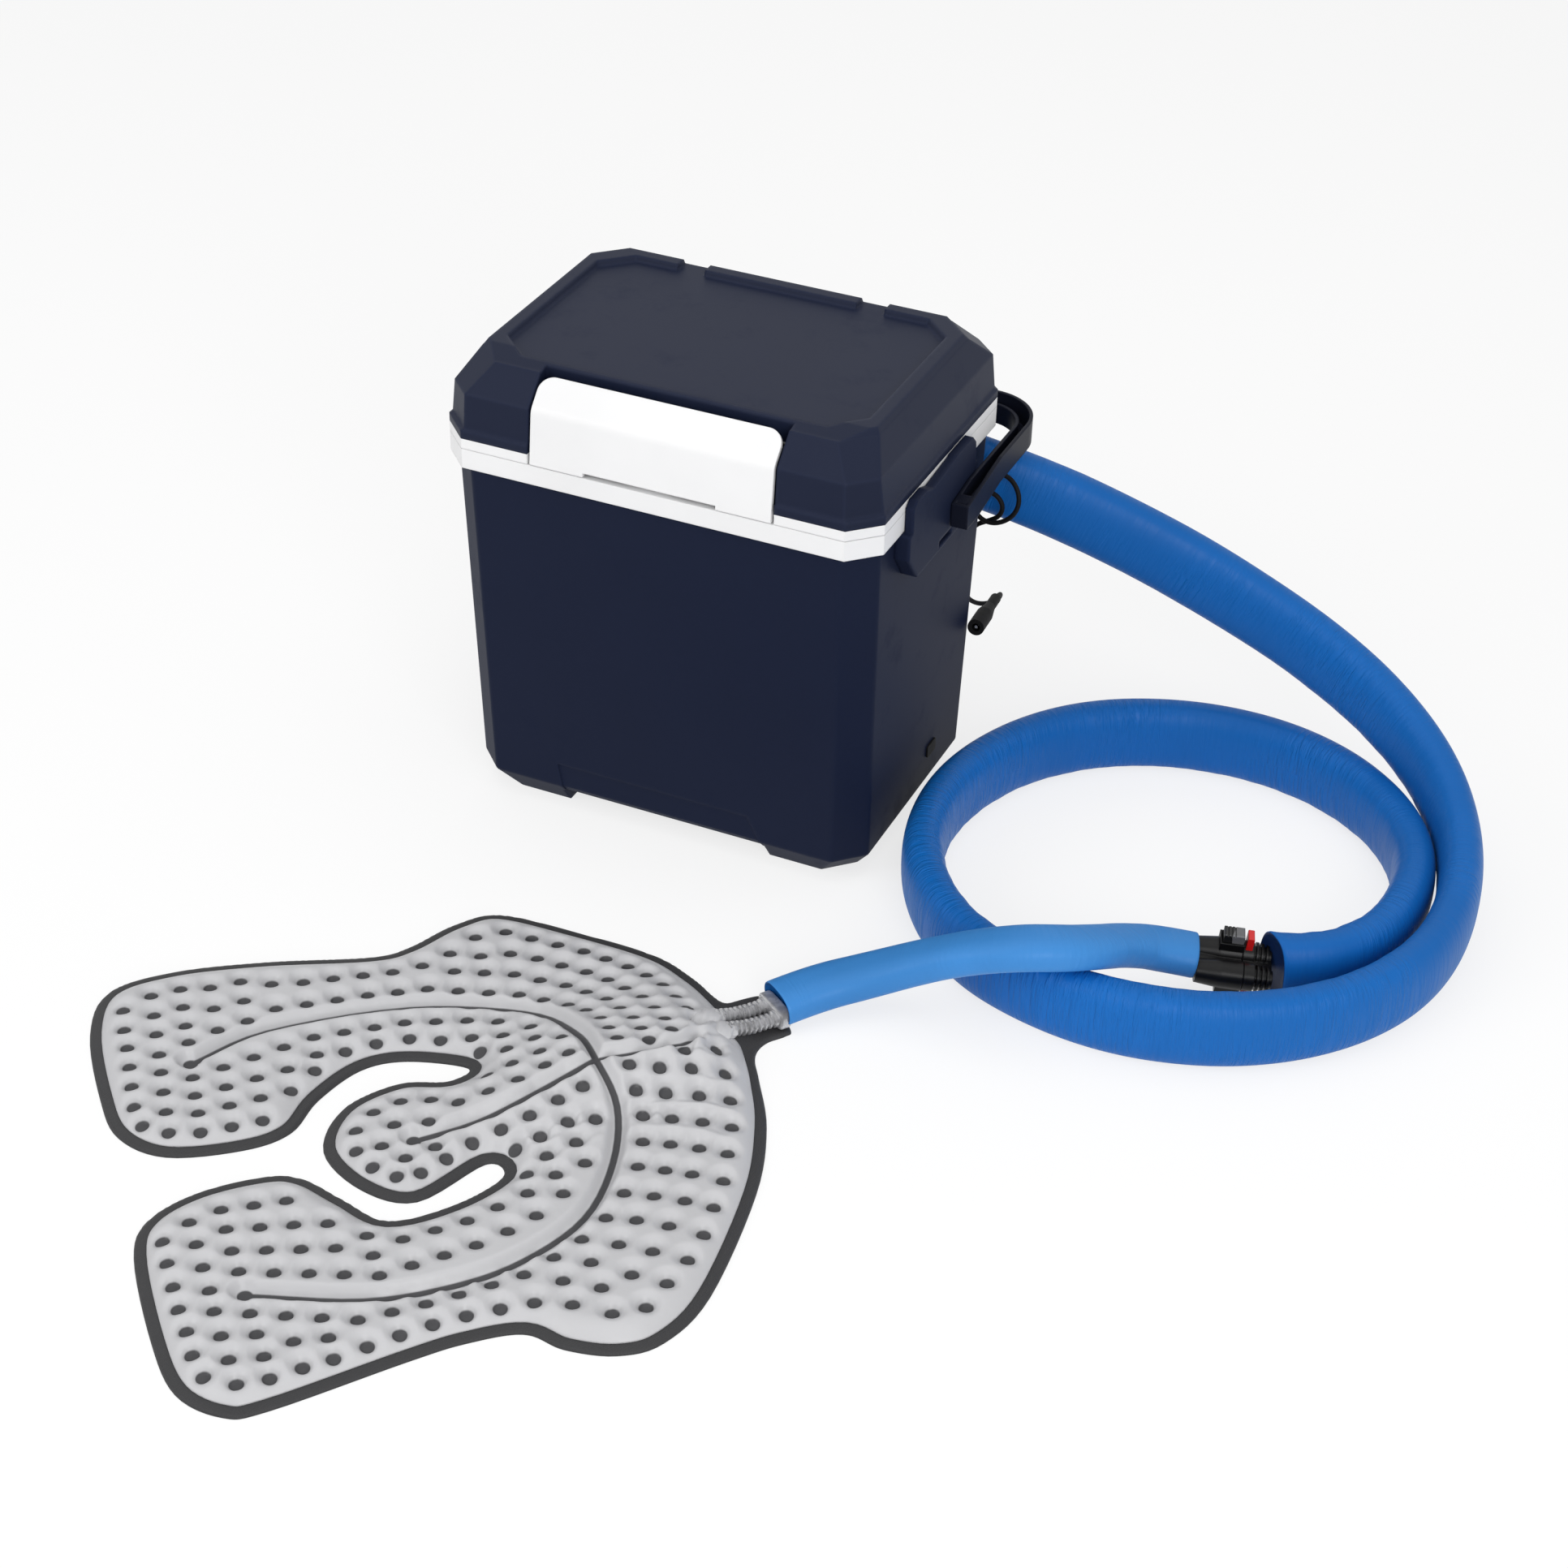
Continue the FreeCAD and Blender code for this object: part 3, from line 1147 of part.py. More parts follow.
def half_turned(shape):
    """The same shape half a turn round the coupling's axis."""
    other = shape.copy()
    other.rotate(V(0, 0, 0), V(1, 0, 0), 180)
    return other


def along_barrel(radius, x0, x1, side=1):
    """A cylinder on one barrel's axis."""
    y = side * barrel_spacing / 2
    return rod(radius, V(x0, y, 0), V(x1, y, 0))


def make_coupling_socket():
    """The two joined barrels with a button tower on one and, half a turn round, on the other."""
    y = barrel_spacing / 2
    outside = []
    for side in (1, -1):
        outside.append(along_barrel(barrel_radius, barrel_taper_end, barrel_front, side))
        outside.append(cone(barrel_neck_radius, barrel_radius, V(barrel_back, side * y, 0),
                            V(barrel_taper_end, side * y, 0)))
    outside.append(block(barrel_back, barrel_front, -y, y, -3, 3))
    tower_half = button_half_width + button_gap + tower_wall
    tower = block(button_back - button_gap - tower_wall, barrel_front, y - tower_half, y + tower_half, 4,
                  tower_high)
    body = joined(outside + [tower, half_turned(tower)])
    pocket = block(button_back - button_gap, button_front + button_gap, y - button_half_width - button_gap,
                   y + button_half_width + button_gap, button_low - button_travel - 0.3, tower_high + 1)
    body = body.cut([pocket, half_turned(pocket)])
    for side in (1, -1):
        body = body.cut(along_barrel(barrel_bore, insert_nose - 0.5, barrel_front + 1, side))
        body = body.cut(along_barrel(water_radius, barrel_back - 1, barrel_front, side))
    return placed_on_coupling(body)


def make_coupling_insert():
    """The ribbed half that pushes into the barrels, one nose in each."""
    y = barrel_spacing / 2
    pieces = []
    start = barrel_front + insert_gap
    for side in (1, -1):
        pieces.append(along_barrel(insert_core_radius, insert_nose, insert_end, side))
        pieces.append(along_barrel(insert_ring_radius, start, insert_ring_end, side))
        for index in range(insert_rib_count):
            x = insert_ring_end + 1.4 + insert_rib_pitch * index
            pieces.append(along_barrel(insert_rib_radius, x, x + insert_rib_width, side))
    pieces.append(block(start, insert_end, -y, y, -2.5, 2.5))
    body = joined(pieces)
    for side in (1, -1):
        body = body.cut(along_barrel(water_radius, insert_nose - 1, insert_end + 1, side))
        kept_core = along_barrel(insert_core_radius - 1.2, -3, 1, side)
        body = body.cut(along_barrel(seal_radius, -2, 0, side).cut(kept_core))
    return placed_on_coupling(body.removeSplitter())


def make_coupling_seals():
    """The two rings that seal the noses in the barrels."""
    rings = [along_barrel(seal_radius, -2, 0, side).cut(along_barrel(insert_core_radius - 1.2, -3, 1, side))
             for side in (1, -1)]
    return placed_on_coupling(Part.makeCompound(rings))


def make_coupling_clips():
    """Two hooked tabs on the insert's ring, one beside each button."""
    y = barrel_spacing / 2
    upright = block(clip_back, clip_back + clip_thickness, y - 4, y + 4, insert_ring_radius - 1.5, clip_high)
    cap = block(clip_back, clip_front, y - 4, y + 4, clip_high - clip_thickness, clip_high)
    drop = block(clip_front - clip_thickness, clip_front, y - 4, y + 4, insert_ring_radius - 1.5, clip_high)
    clip = joined([upright, cap, drop])
    clip = rounded_edges(clip, 0.8, lambda e: e.BoundBox.YLength > 5 and e.BoundBox.ZMin > clip_high - 0.5)
    both = Part.makeCompound([clip, half_turned(clip)])
    rings = [along_barrel(insert_ring_radius, clip_back - 5, clip_front + 5, side) for side in (1, -1)]
    return placed_on_coupling(both.cut(rings))


def make_release_button():
    """A ribbed thumb button that slides square to its barrel."""
    y = barrel_spacing / 2
    body = block(button_back, button_front, y - button_half_width, y + button_half_width, button_low,
                 button_high)
    body = rounded_edges(body, 1.2, lambda e: e.BoundBox.ZMin > button_high - 0.5)
    for index in range(3):
        x = button_back + 1.8 + 2.2 * index
        body = body.cut(block(x, x + 0.9, y - 10, y + 10, button_high - 1.2, button_high + 1))
    return body


# ---------------------------------------------------------------- pad
def inset(points, distance):
    """A closed outline moved inwards, each point along the mean normal of its two sides."""
    moved = []
    for before, here, after in zip(points[-1:] + points[:-1], points, points[1:] + points[:1]):
        along = V(after[0] - before[0], after[1] - before[1], 0).normalize()
        moved.append((here[0] + along.y * distance, here[1] - along.x * distance))
    return moved


def outline_slab(points, z0, z1):
    """A slab whose edge is a smooth closed curve through the points."""
    curve = Part.BSplineCurve()
    curve.interpolate([V(x, y, z0) for x, y in points], PeriodicFlag=True)
    return Part.Face(Part.Wire([curve.toShape()])).extrude(V(0, 0, z1 - z0))


def make_pad_sheet():
    """The dark backing sheet with its border and the tongue under the inlet."""
    return outline_slab(SHEET_LEFT + SHEET_REST, 0, sheet_thickness)


def swell_at(x, y):
    """How far the inlet lifts the pad: a bell of fixed spread around a line of changing height."""
    lift = 0.0
    for (x0, y0, low), (x1, y1, high) in zip(SWELL_LINE, SWELL_LINE[1:]):
        run = V(x1 - x0, y1 - y0, 0)
        share = min(max(((x - x0) * run.x + (y - y0) * run.y) / run.dot(run), 0.0), 1.0)
        away = math.hypot(x - x0 - share * run.x, y - y0 - share * run.y)
        lift = max(lift, (low + (high - low) * share) * math.exp(-0.5 * (away / swell_spread) ** 2))
    return lift


def leaned(x, y):
    """Where a point of the flat pad comes to lie when the pad is lifted and leans."""
    lift = swell_at(x, y)
    return x + swell_lean[0] * lift, y + swell_lean[1] * lift


def make_swell(top_z):
    """The mound on the pad: a loft through bell-shaped sections that stand across its line."""
    wires = []
    for before, here, after in zip(SWELL_LINE[:1] + SWELL_LINE[:-1], SWELL_LINE,
                                   SWELL_LINE[1:] + SWELL_LINE[-1:]):
        along = V(after[0] - before[0], after[1] - before[1], 0).normalize()
        across = V(-along.y, along.x, 0)
        middle = V(here[0] + swell_lean[0] * here[2], here[1] + swell_lean[1] * here[2], top_z - swell_sink)
        points = []
        for step in range(-4, 5):
            reach = step * swell_spread * 0.55
            rise = (here[2] + swell_sink) * math.exp(-0.5 * (reach / swell_spread) ** 2) - 0.5
            points.append(middle + across * reach + V(0, 0, rise))
        curve = Part.BSplineCurve()
        curve.interpolate(points)
        feet = [V(p.x, p.y, top_z - 12.0) for p in (points[-1], points[0])]
        sides = [Part.makeLine(points[-1], feet[0]), Part.makeLine(feet[0], feet[1]),
                 Part.makeLine(feet[1], points[0])]
        wires.append(Part.Wire([curve.toShape()] + sides))
    return Part.makeLoft(wires, True)


def weld_band(line):
    """A tall wall along a weld, with smooth sides."""
    points = [leaned(x, y) for x, y in line]
    sides = ([], [])
    for before, here, after in zip(points[:1] + points[:-1], points, points[1:] + points[-1:]):
        along = V(after[0] - before[0], after[1] - before[1], 0).normalize()
        for side, reach in zip(sides, (weld_width / 2, -weld_width / 2)):
            side.append(V(here[0] - along.y * reach, here[1] + along.x * reach, sheet_thickness))
    edges = []
    for side in sides:
        curve = Part.BSplineCurve()
        curve.interpolate(side)
        edges.append(curve.toShape())
    edges.append(Part.makeLine(sides[0][0], sides[1][0]))
    edges.append(Part.makeLine(sides[0][-1], sides[1][-1]))
    return Part.Face(Part.Wire(Part.__sortEdges__(edges))).extrude(V(0, 0, 60))


def dimple_centres():
    """Every dimple: equal steps along each run."""
    centres = []
    for run in DIMPLE_ROWS:
        for (x0, y0, steps), (x1, y1, _) in zip(run, run[1:]):
            for index in range(steps):
                share = index / steps
                centres.append((x0 + (x1 - x0) * share, y0 + (y1 - y0) * share))
        centres.append(run[-1][:2])
    return centres


def make_pad_bladder():
    """The pale water bladder: a swelling top with a stepped rim, pressed down at its welds and dimples."""
    outline = BLADDER_LEFT + SHEET_REST
    top_z = sheet_thickness + bladder_high
    low = outline_slab(inset(outline, border_width), sheet_thickness, sheet_thickness + bladder_low)
    high_outline = inset(outline, border_width + bladder_step_inset)
    high = outline_slab(high_outline, sheet_thickness, top_z)
    swell = make_swell(top_z)
    mound = swell.common(outline_slab(high_outline, sheet_thickness, top_z + 60))
    bladder = low.fuse([high, mound])
    floor = swell.translated(V(0, 0, -weld_depth))
    floor = floor.fuse(block(-2 * rim_width, 2 * rim_width, -8 * rim_depth, 0, 0, top_z - weld_depth))
    bands = joined([weld_band(line) for line in (ARC_WELD, MIDDLE_WELD, INLET_WELD)])
    rim = Part.Wire([e for e in high.Edges if e.BoundBox.ZMin > top_z - 0.1])
    bladder = bladder.cut(bands.cut(floor))
    presses = []
    for x, y in dimple_centres():
        if rim.distToShape(Part.Vertex(x, y, top_z))[0] > dimple_margin:
            at = V(*leaned(x, y), top_z - weld_depth + swell_at(x, y))
            presses.append(rod(dimple_radius, at, at + V(0, 0, weld_depth + 8)))
    return bladder.cut(presses)


def inlet_point(along, across, z):
    """A point measured from the second hose's end, along its heading and across it."""
    heading = V(inlet_heading[0], inlet_heading[1], 0).normalize()
    side = V(-heading.y, heading.x, 0)
    return V(inlet_end[0], inlet_end[1], z) + heading * along + side * across


def make_inlet_block():
    """The clear manifold between the second hose and the pad's two tubes."""
    half = inlet_block_width / 2
    corners = [inlet_point(0, -half, inlet_block_low), inlet_point(0, half, inlet_block_low),
               inlet_point(inlet_block_length, half - 3, inlet_block_low),
               inlet_point(inlet_block_length, 3 - half, inlet_block_low)]
    face = Part.Face(Part.makePolygon(corners + corners[:1]))
    body = face.extrude(V(0, 0, inlet_block_high - inlet_block_low))
    return rounded_edges(body, 2.0, lambda e: e.BoundBox.ZMin > inlet_block_high - 0.5)


def make_inlet_tubes():
    """Two ribbed tubes from the manifold to the bladder's ports."""
    tubes = []
    for side in (-1, 1):
        across = side * inlet_spacing / 2
        start = inlet_point(inlet_block_length, across, inlet_tube_z)
        end = inlet_point(inlet_block_length + inlet_tube_length, across, inlet_tube_z)
        tube = [rod(inlet_tube_radius, start, end)]
        along = (end - start).normalize()
        for index in range(int(inlet_tube_length / inlet_rib_pitch)):
            at = start + along * (inlet_rib_pitch * (index + 0.4))
            tube.append(rod(inlet_rib_radius, at, at + along * inlet_rib_pitch * 0.5))
        tubes.append(joined(tube).cut(rod(water_radius - 0.6, start - along, end + along)))
    return Part.makeCompound(tubes)


def make_pad_ports():
    """The two welded sleeves that take the tubes into the bladder."""
    start = inlet_block_length + inlet_tube_length
    sleeves = []
    for side in (-1, 1):
        across = side * inlet_spacing / 2
        sleeves.append(rod(port_radius, inlet_point(start, across, inlet_tube_z),
                           inlet_point(start + port_length, across, inlet_tube_z)))
    return Part.makeCompound(sleeves)


# ---------------------------------------------------------------- build everything
def main():
    os.makedirs("parts", exist_ok=True)
    save("outer_shell", make_outer_shell())
    save("body_insulation", make_body_insulation())
    save("inner_liner", make_inner_liner())
    save("drain_plug", make_drain_plug())
    save("lid_shell", make_lid_shell())
    save("lid_insulation", make_lid_insulation())
    save("lid_liner", make_lid_liner())
    save("lid_gasket", make_lid_gasket())
    save("hinge_brackets", hinge_pair(hinge_bracket))
    save("lid_hinge_arms", hinge_pair(hinge_arm))
    save("hinge_pins", hinge_pair(hinge_pin))
    save("latch_flap", make_latch_flap())
    save("latch_pin", make_latch_pin())
    save("carry_handle", make_carry_handle())
    lug = make_handle_lug()
    save("handle_lug_right", lug)
    save("handle_lug_left", mirrored(lug))
    pin = make_handle_pin()
    save("handle_pin_right", pin)
    save("handle_pin_left", mirrored(pin))
    save("pump_suction_cups", make_suction_cups())
    save("pump_strainer", make_strainer())
    save("pump_volute", make_volute())
    save("pump_impeller", make_impeller())
    save("pump_shaft", make_pump_shaft())
    save("pump_motor_can", make_motor_can())
    save("hose_1_sleeve", make_hose_one())
    save("hose_2_sleeve", make_hose_two())
    save("outlet_elbow", make_outlet_elbow())
    save("bulkhead_nuts", make_bulkhead_nuts())
    save("supply_tube", water_tube(SUPPLY_ROUTE, "supply tube"))
    save("return_tube", water_tube(RETURN_ROUTE, "return tube"))
    save("pump_lead", swept_tube(PUMP_LEAD_ROUTE, lead_radius, "pump lead"))
    save("power_gland", make_power_gland())
    save("power_lead", swept_tube(LEAD_ROUTE, lead_radius, "power lead"))
    save("power_jack", make_power_jack())
    save("jack_pin", make_jack_pin())
    save("coupling_socket", make_coupling_socket())
    save("coupling_insert", make_coupling_insert())
    save("coupling_seals", make_coupling_seals())
    save("coupling_clips", make_coupling_clips())
    button = make_release_button()
    save("release_button_far", placed_on_coupling(button))
    save("release_button_near", placed_on_coupling(half_turned(button)))
    bladder = make_pad_bladder()
    save("pad_sheet", make_pad_sheet())
    save("pad_bladder", bladder)
    save("inlet_block", make_inlet_block())
    save("inlet_tubes", make_inlet_tubes().cut(bladder))
    save("pad_ports", make_pad_ports().cut(bladder))


main()
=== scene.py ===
import math

import bpy
import numpy as np
from mathutils import Matrix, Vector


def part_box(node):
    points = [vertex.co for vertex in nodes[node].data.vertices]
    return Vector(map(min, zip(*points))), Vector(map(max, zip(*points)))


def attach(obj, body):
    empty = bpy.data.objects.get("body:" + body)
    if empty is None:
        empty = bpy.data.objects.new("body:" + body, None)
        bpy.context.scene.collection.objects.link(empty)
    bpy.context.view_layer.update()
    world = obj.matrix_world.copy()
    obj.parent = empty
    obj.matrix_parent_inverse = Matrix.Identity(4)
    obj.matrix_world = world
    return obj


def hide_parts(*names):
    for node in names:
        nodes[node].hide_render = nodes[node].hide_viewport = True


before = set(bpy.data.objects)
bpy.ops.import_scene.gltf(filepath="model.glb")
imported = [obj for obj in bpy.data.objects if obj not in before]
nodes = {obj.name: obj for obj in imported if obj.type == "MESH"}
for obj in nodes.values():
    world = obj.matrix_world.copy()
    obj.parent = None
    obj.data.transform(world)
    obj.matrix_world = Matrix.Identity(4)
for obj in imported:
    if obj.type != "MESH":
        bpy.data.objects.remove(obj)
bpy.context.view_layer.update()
MM = 0.001

# ---------------------------------------------------------------- camera
# its angles in degrees, its place and reach in metres, its lens and sensor in millimetres
CAMERA_AZIMUTH = 23.58
CAMERA_ELEVATION = 34.38
CAMERA_ROLL = 1.51
CAMERA_POINT = (0.7290, -1.5657, 1.1675)
CAMERA_LENS = 71.63
CAMERA_SENSOR = 36.0
CAMERA_REACH = 20.0


def put_facing(obj, right, up, back, place):
    """Put a camera or a lamp into the scene at place, with its own axes along three unit directions."""
    bpy.context.scene.collection.objects.link(obj)
    turned = Matrix([list(row) for row in np.stack([right, up, back], 1)]).to_4x4()
    turned.translation = place
    obj.matrix_world = turned


def make_camera():
    """The camera looks back along its azimuth and elevation, turned a little about its own axis."""
    azimuth, elevation, roll = (math.radians(a) for a in (CAMERA_AZIMUTH, CAMERA_ELEVATION, CAMERA_ROLL))
    back = np.array([math.sin(azimuth) * math.cos(elevation), -math.cos(azimuth) * math.cos(elevation),
                     math.sin(elevation)])
    level = np.array([math.cos(azimuth), math.sin(azimuth), 0.0])
    upright = np.cross(back, level)
    right = math.cos(roll) * level + math.sin(roll) * upright
    up = math.cos(roll) * upright - math.sin(roll) * level
    data = bpy.data.cameras.new("camera")
    data.lens = CAMERA_LENS
    data.sensor_width = CAMERA_SENSOR
    data.clip_end = CAMERA_REACH
    camera = bpy.data.objects.new("camera", data)
    put_facing(camera, right, up, back, CAMERA_POINT)
    bpy.context.scene.camera = camera


make_camera()

# ---------------------------------------------------------------- the free routes, in millimetres
HOSE_ONE_ROUTE = [
    (96, 119.4, 198.8), (150, 127, 188), (216, 148, 160), (284, 162, 128), (350, 162, 99),
    (408, 144, 76), (456, 107, 55), (485, 55, 38), (494, -3, 27), (484, -60, 24.5),
    (453, -113, 24.5), (404, -151, 24.5), (347, -169, 24.5), (289, -168, 24.5),
    (232, -148, 24.5), (190, -108, 24.5), (165, -55, 24.5), (162, 6, 24.5),
    (181, 65, 24.5), (221, 113, 24.5), (275, 139, 24.5), (333, 145, 24.5),
    (388, 129, 24.5), (430, 97, 24.5), (457.5, 53, 24.5), (463, 5, 24.5),
    (455, -42, 24.8), (428.5, -77.5, 25), (404.3, -84.7, 25),
]
HOSE_TWO_ROUTE = [
    (361.3, -100.3, 31.5), (338.8, -108.5, 35.5), (324, -127, 45), (314, -150, 56), (300, -170, 64),
    (279, -182, 65.5), (250, -186, 55.5), (219, -187, 38.5), (188, -195, 23), (161.5, -211, 15.5),
    (146, -232, 13.5),
]
LEAD_ROUTE = [
    (138, 99.4, 206), (144, 105.2, 206), (152.5, 105.5, 203.5), (158.8, 103, 197.5), (161, 101, 189.5),
    (158.5, 99.5, 181), (152, 98.5, 175), (144, 98, 172), (135.5, 98.5, 173.5), (130, 100.5, 179.5),
    (131, 102.8, 187.5), (137.5, 104.2, 191.5), (145, 104.2, 189.5), (149.5, 103.5, 183),
    (147.5, 103, 175.5), (140, 103, 170.5), (131, 104, 165), (125, 105.5, 155), (121.5, 107, 141),
    (120.5, 110, 125), (120.5, 116, 108), (121.3, 125.5, 94.5), (125.5, 135, 86.5), (132.5, 141, 86),
    (138.3, 141.5, 91.5), (140.8, 135.5, 99.3), (141.4, 124, 101.2),
]
SUPPLY_ROUTE = [
    (62, 36, 70.2), (62, 36, 88), (66, 48, 118), (71, 60, 150), (72, 54, 174), (72, 60, 188), (72, 70, 188),
]
PUMP_LEAD_ROUTE = [
    (62, -4, 92.2), (62, -4, 109), (78, 8, 139), (92, 30, 172), (103, 60, 198), (110.5, 71.5, 206),
]


# ---------------------------------------------------------------- meshes from arrays
def put_in(piece, slot, *replaced):
    """Put a finished piece into the scene on the base and in place of CAD nodes; slot is not used."""
    if piece.name not in bpy.context.scene.collection.objects:
        bpy.context.scene.collection.objects.link(piece)
    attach(piece, "base")
    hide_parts(*replaced)
    return piece


def mesh_piece(name, points, faces, material, uv=None, smooth=True):
    """An object from an (n, 3) array of points and an (m, 4) array of corner numbers.

    A triangle repeats its last corner. uv holds one pair for each corner of each face.
    """
    mesh = bpy.data.meshes.new(name)
    mesh.from_pydata(points.tolist(), [], [list(dict.fromkeys(face)) for face in faces.tolist()])
    if uv is not None:
        layer = mesh.uv_layers.new(name="UVMap")
        layer.data.foreach_set("uv", np.asarray(uv, np.float32).ravel())
    mesh.polygons.foreach_set("use_smooth", [smooth] * len(mesh.polygons))
    mesh.materials.append(material)
    mesh.update()
    return bpy.data.objects.new(name, mesh)


def mark_points(piece, name, values):
    """Keep a value for each point of a piece, under the name that its material reads."""
    attribute = piece.data.attributes.new(name, "FLOAT", "POINT")
    attribute.data.foreach_set("value", np.asarray(values, np.float32))


def capped_tube(rings):
    """Points and faces of a tube from its (n, m, 3) rings, each end closed to the middle of its ring."""
    count, corners = rings.shape[:2]
    row, here = np.meshgrid(np.arange(count - 1) * corners, np.arange(corners), indexing="ij")
    after = (here + 1) % corners
    wall = np.stack([row + here, row + after, row + corners + after, row + corners + here], -1).reshape(-1, 4)
    here, after = here[0], after[0]
    middle = np.full(corners, count * corners)
    last = (count - 1) * corners
    start = np.stack([after, here, middle, middle], -1)
    end = np.stack([last + here, last + after, middle + 1, middle + 1], -1)
    points = np.concatenate([rings.reshape(-1, 3), rings[[0, -1]].mean(1)])
    return points, np.concatenate([wall, start, end])


def smoothstep(low, high, value):
    """0 below low, 1 above high, and 3t^2 - 2t^3 between them."""
    t = np.clip((value - low) / (high - low), 0.0, 1.0)
    return t * t * (3.0 - 2.0 * t)


def bump_noise(x, y, waves, seed):
    """A sum of plane sine waves with random headings and phases: a smooth field between -1 and 1."""
    rng = np.random.default_rng(seed)
    total = np.zeros_like(x)
    for length in waves:
        heading = rng.uniform(0, 2 * math.pi)
        phase = rng.uniform(0, 2 * math.pi)
        total += np.sin((x * math.cos(heading) + y * math.sin(heading)) * 2 * math.pi / length + phase)
    return total / len(waves)


# ---------------------------------------------------------------- cords
def route_curve(name, route, radius=0.0):
    """A NURBS spline of order 3 with the route's points as its control points, in metres."""
    curve = bpy.data.curves.new(name, "CURVE")
    curve.dimensions = "3D"
    curve.resolution_u = 16
    curve.bevel_depth = radius
    curve.bevel_resolution = 6
    curve.use_fill_caps = True
    spline = curve.splines.new("NURBS")
    spline.points.add(len(route) - 1)
    control = np.ones((len(route), 4))
    control[:, :3] = np.array(route) * MM
    spline.points.foreach_set("co", control.ravel())
    spline.order_u = 3
    spline.use_endpoint_u = True
    obj = bpy.data.objects.new(name, curve)
    bpy.context.scene.collection.objects.link(obj)
    return obj


def route_line(route):
    """The points of the route's smooth line, read from its spline."""
    obj = route_curve("line", route)
    mesh = bpy.data.meshes.new_from_object(obj)
    points = np.zeros(len(mesh.vertices) * 3)
    mesh.vertices.foreach_get("co", points)
    bpy.data.objects.remove(obj)
    bpy.data.meshes.remove(mesh)
    return points.reshape(-1, 3)


def evenly(line, step):
    """The line's points again, about step apart along it."""
    run = np.concatenate([[0.0], np.cumsum(np.linalg.norm(np.diff(line, axis=0), axis=1))])
    at = np.linspace(0.0, run[-1], int(round(run[-1] / step)) + 1)
    return np.stack([np.interp(at, run, line[:, axis]) for axis in range(3)], -1), at


def upright_frames(line):
    """Along, sideways and upward directions at each point, with sideways kept level."""
    along = np.gradient(line, axis=0)
    along /= np.linalg.norm(along, axis=1)[:, None]
    side = np.cross(along, [0.0, 0.0, 1.0])
    side /= np.linalg.norm(side, axis=1)[:, None]
    return along, side, np.cross(side, along)


def oval_ring(half_w, half_h, count, squareness=2.5):
    """A superellipse |x/a|^n + |y/b|^n = 1, as count points spread evenly by angle."""
    angle = np.linspace(0.0, 2 * math.pi, count, endpoint=False)
    x, y = (np.sign(wave) * np.abs(wave) ** (2 / squareness) for wave in (np.cos(angle), np.sin(angle)))
    return x * half_w, y * half_h


# a foam sleeve, in metres: its steps along and around, its soft swell, its pleats and its ends
SLEEVE_STEP = 0.0025
SLEEVE_ROUND = 64
SWELL_WAVES = (0.09, 0.14, 0.21)
SWELL_GIRTH = 0.15
SWELL_DEPTH = 0.010
PLEAT_WAVES = (0.011, 0.017, 0.023, 0.031)
PLEAT_GIRTH = 0.06
PLEAT_BEND = 0.055
END_LIP = 0.0016
END_DISH = 0.004
LEAN_REACH = 0.022
# an end's rings from its middle outwards: each one's share of the size, and how far in it lies
END_RINGS = np.array([(0.35, END_DISH), (0.62, END_DISH), (0.80, END_DISH * 0.7), (0.90, END_LIP * 0.4),
                      (0.955, 0.0), (0.985, END_LIP * 0.25)])


def end_face(ring, inwards):
    """The rings of a sleeve's end: its last ring made smaller about its middle, and pushed inwards."""
    centre = ring.mean(0)
    size, depth = END_RINGS.T[..., None, None]
    return centre + (ring - centre) * size + inwards * depth


def sleeve_uv(run, around):
    """For each face corner the length so far and the way around, in metres; zeros at the ends' middles."""
    row, turn = np.meshgrid(np.arange(len(run) - 1), np.arange(SLEEVE_ROUND), indexing="ij")
    u = np.stack([run[row], run[row], run[row + 1], run[row + 1]], -1)
    v = np.stack([turn, turn + 1, turn + 1, turn], -1) / SLEEVE_ROUND * around
    return np.concatenate([np.stack([u, v], -1).reshape(-1, 2), np.zeros((2 * 3 * SLEEVE_ROUND, 2))])


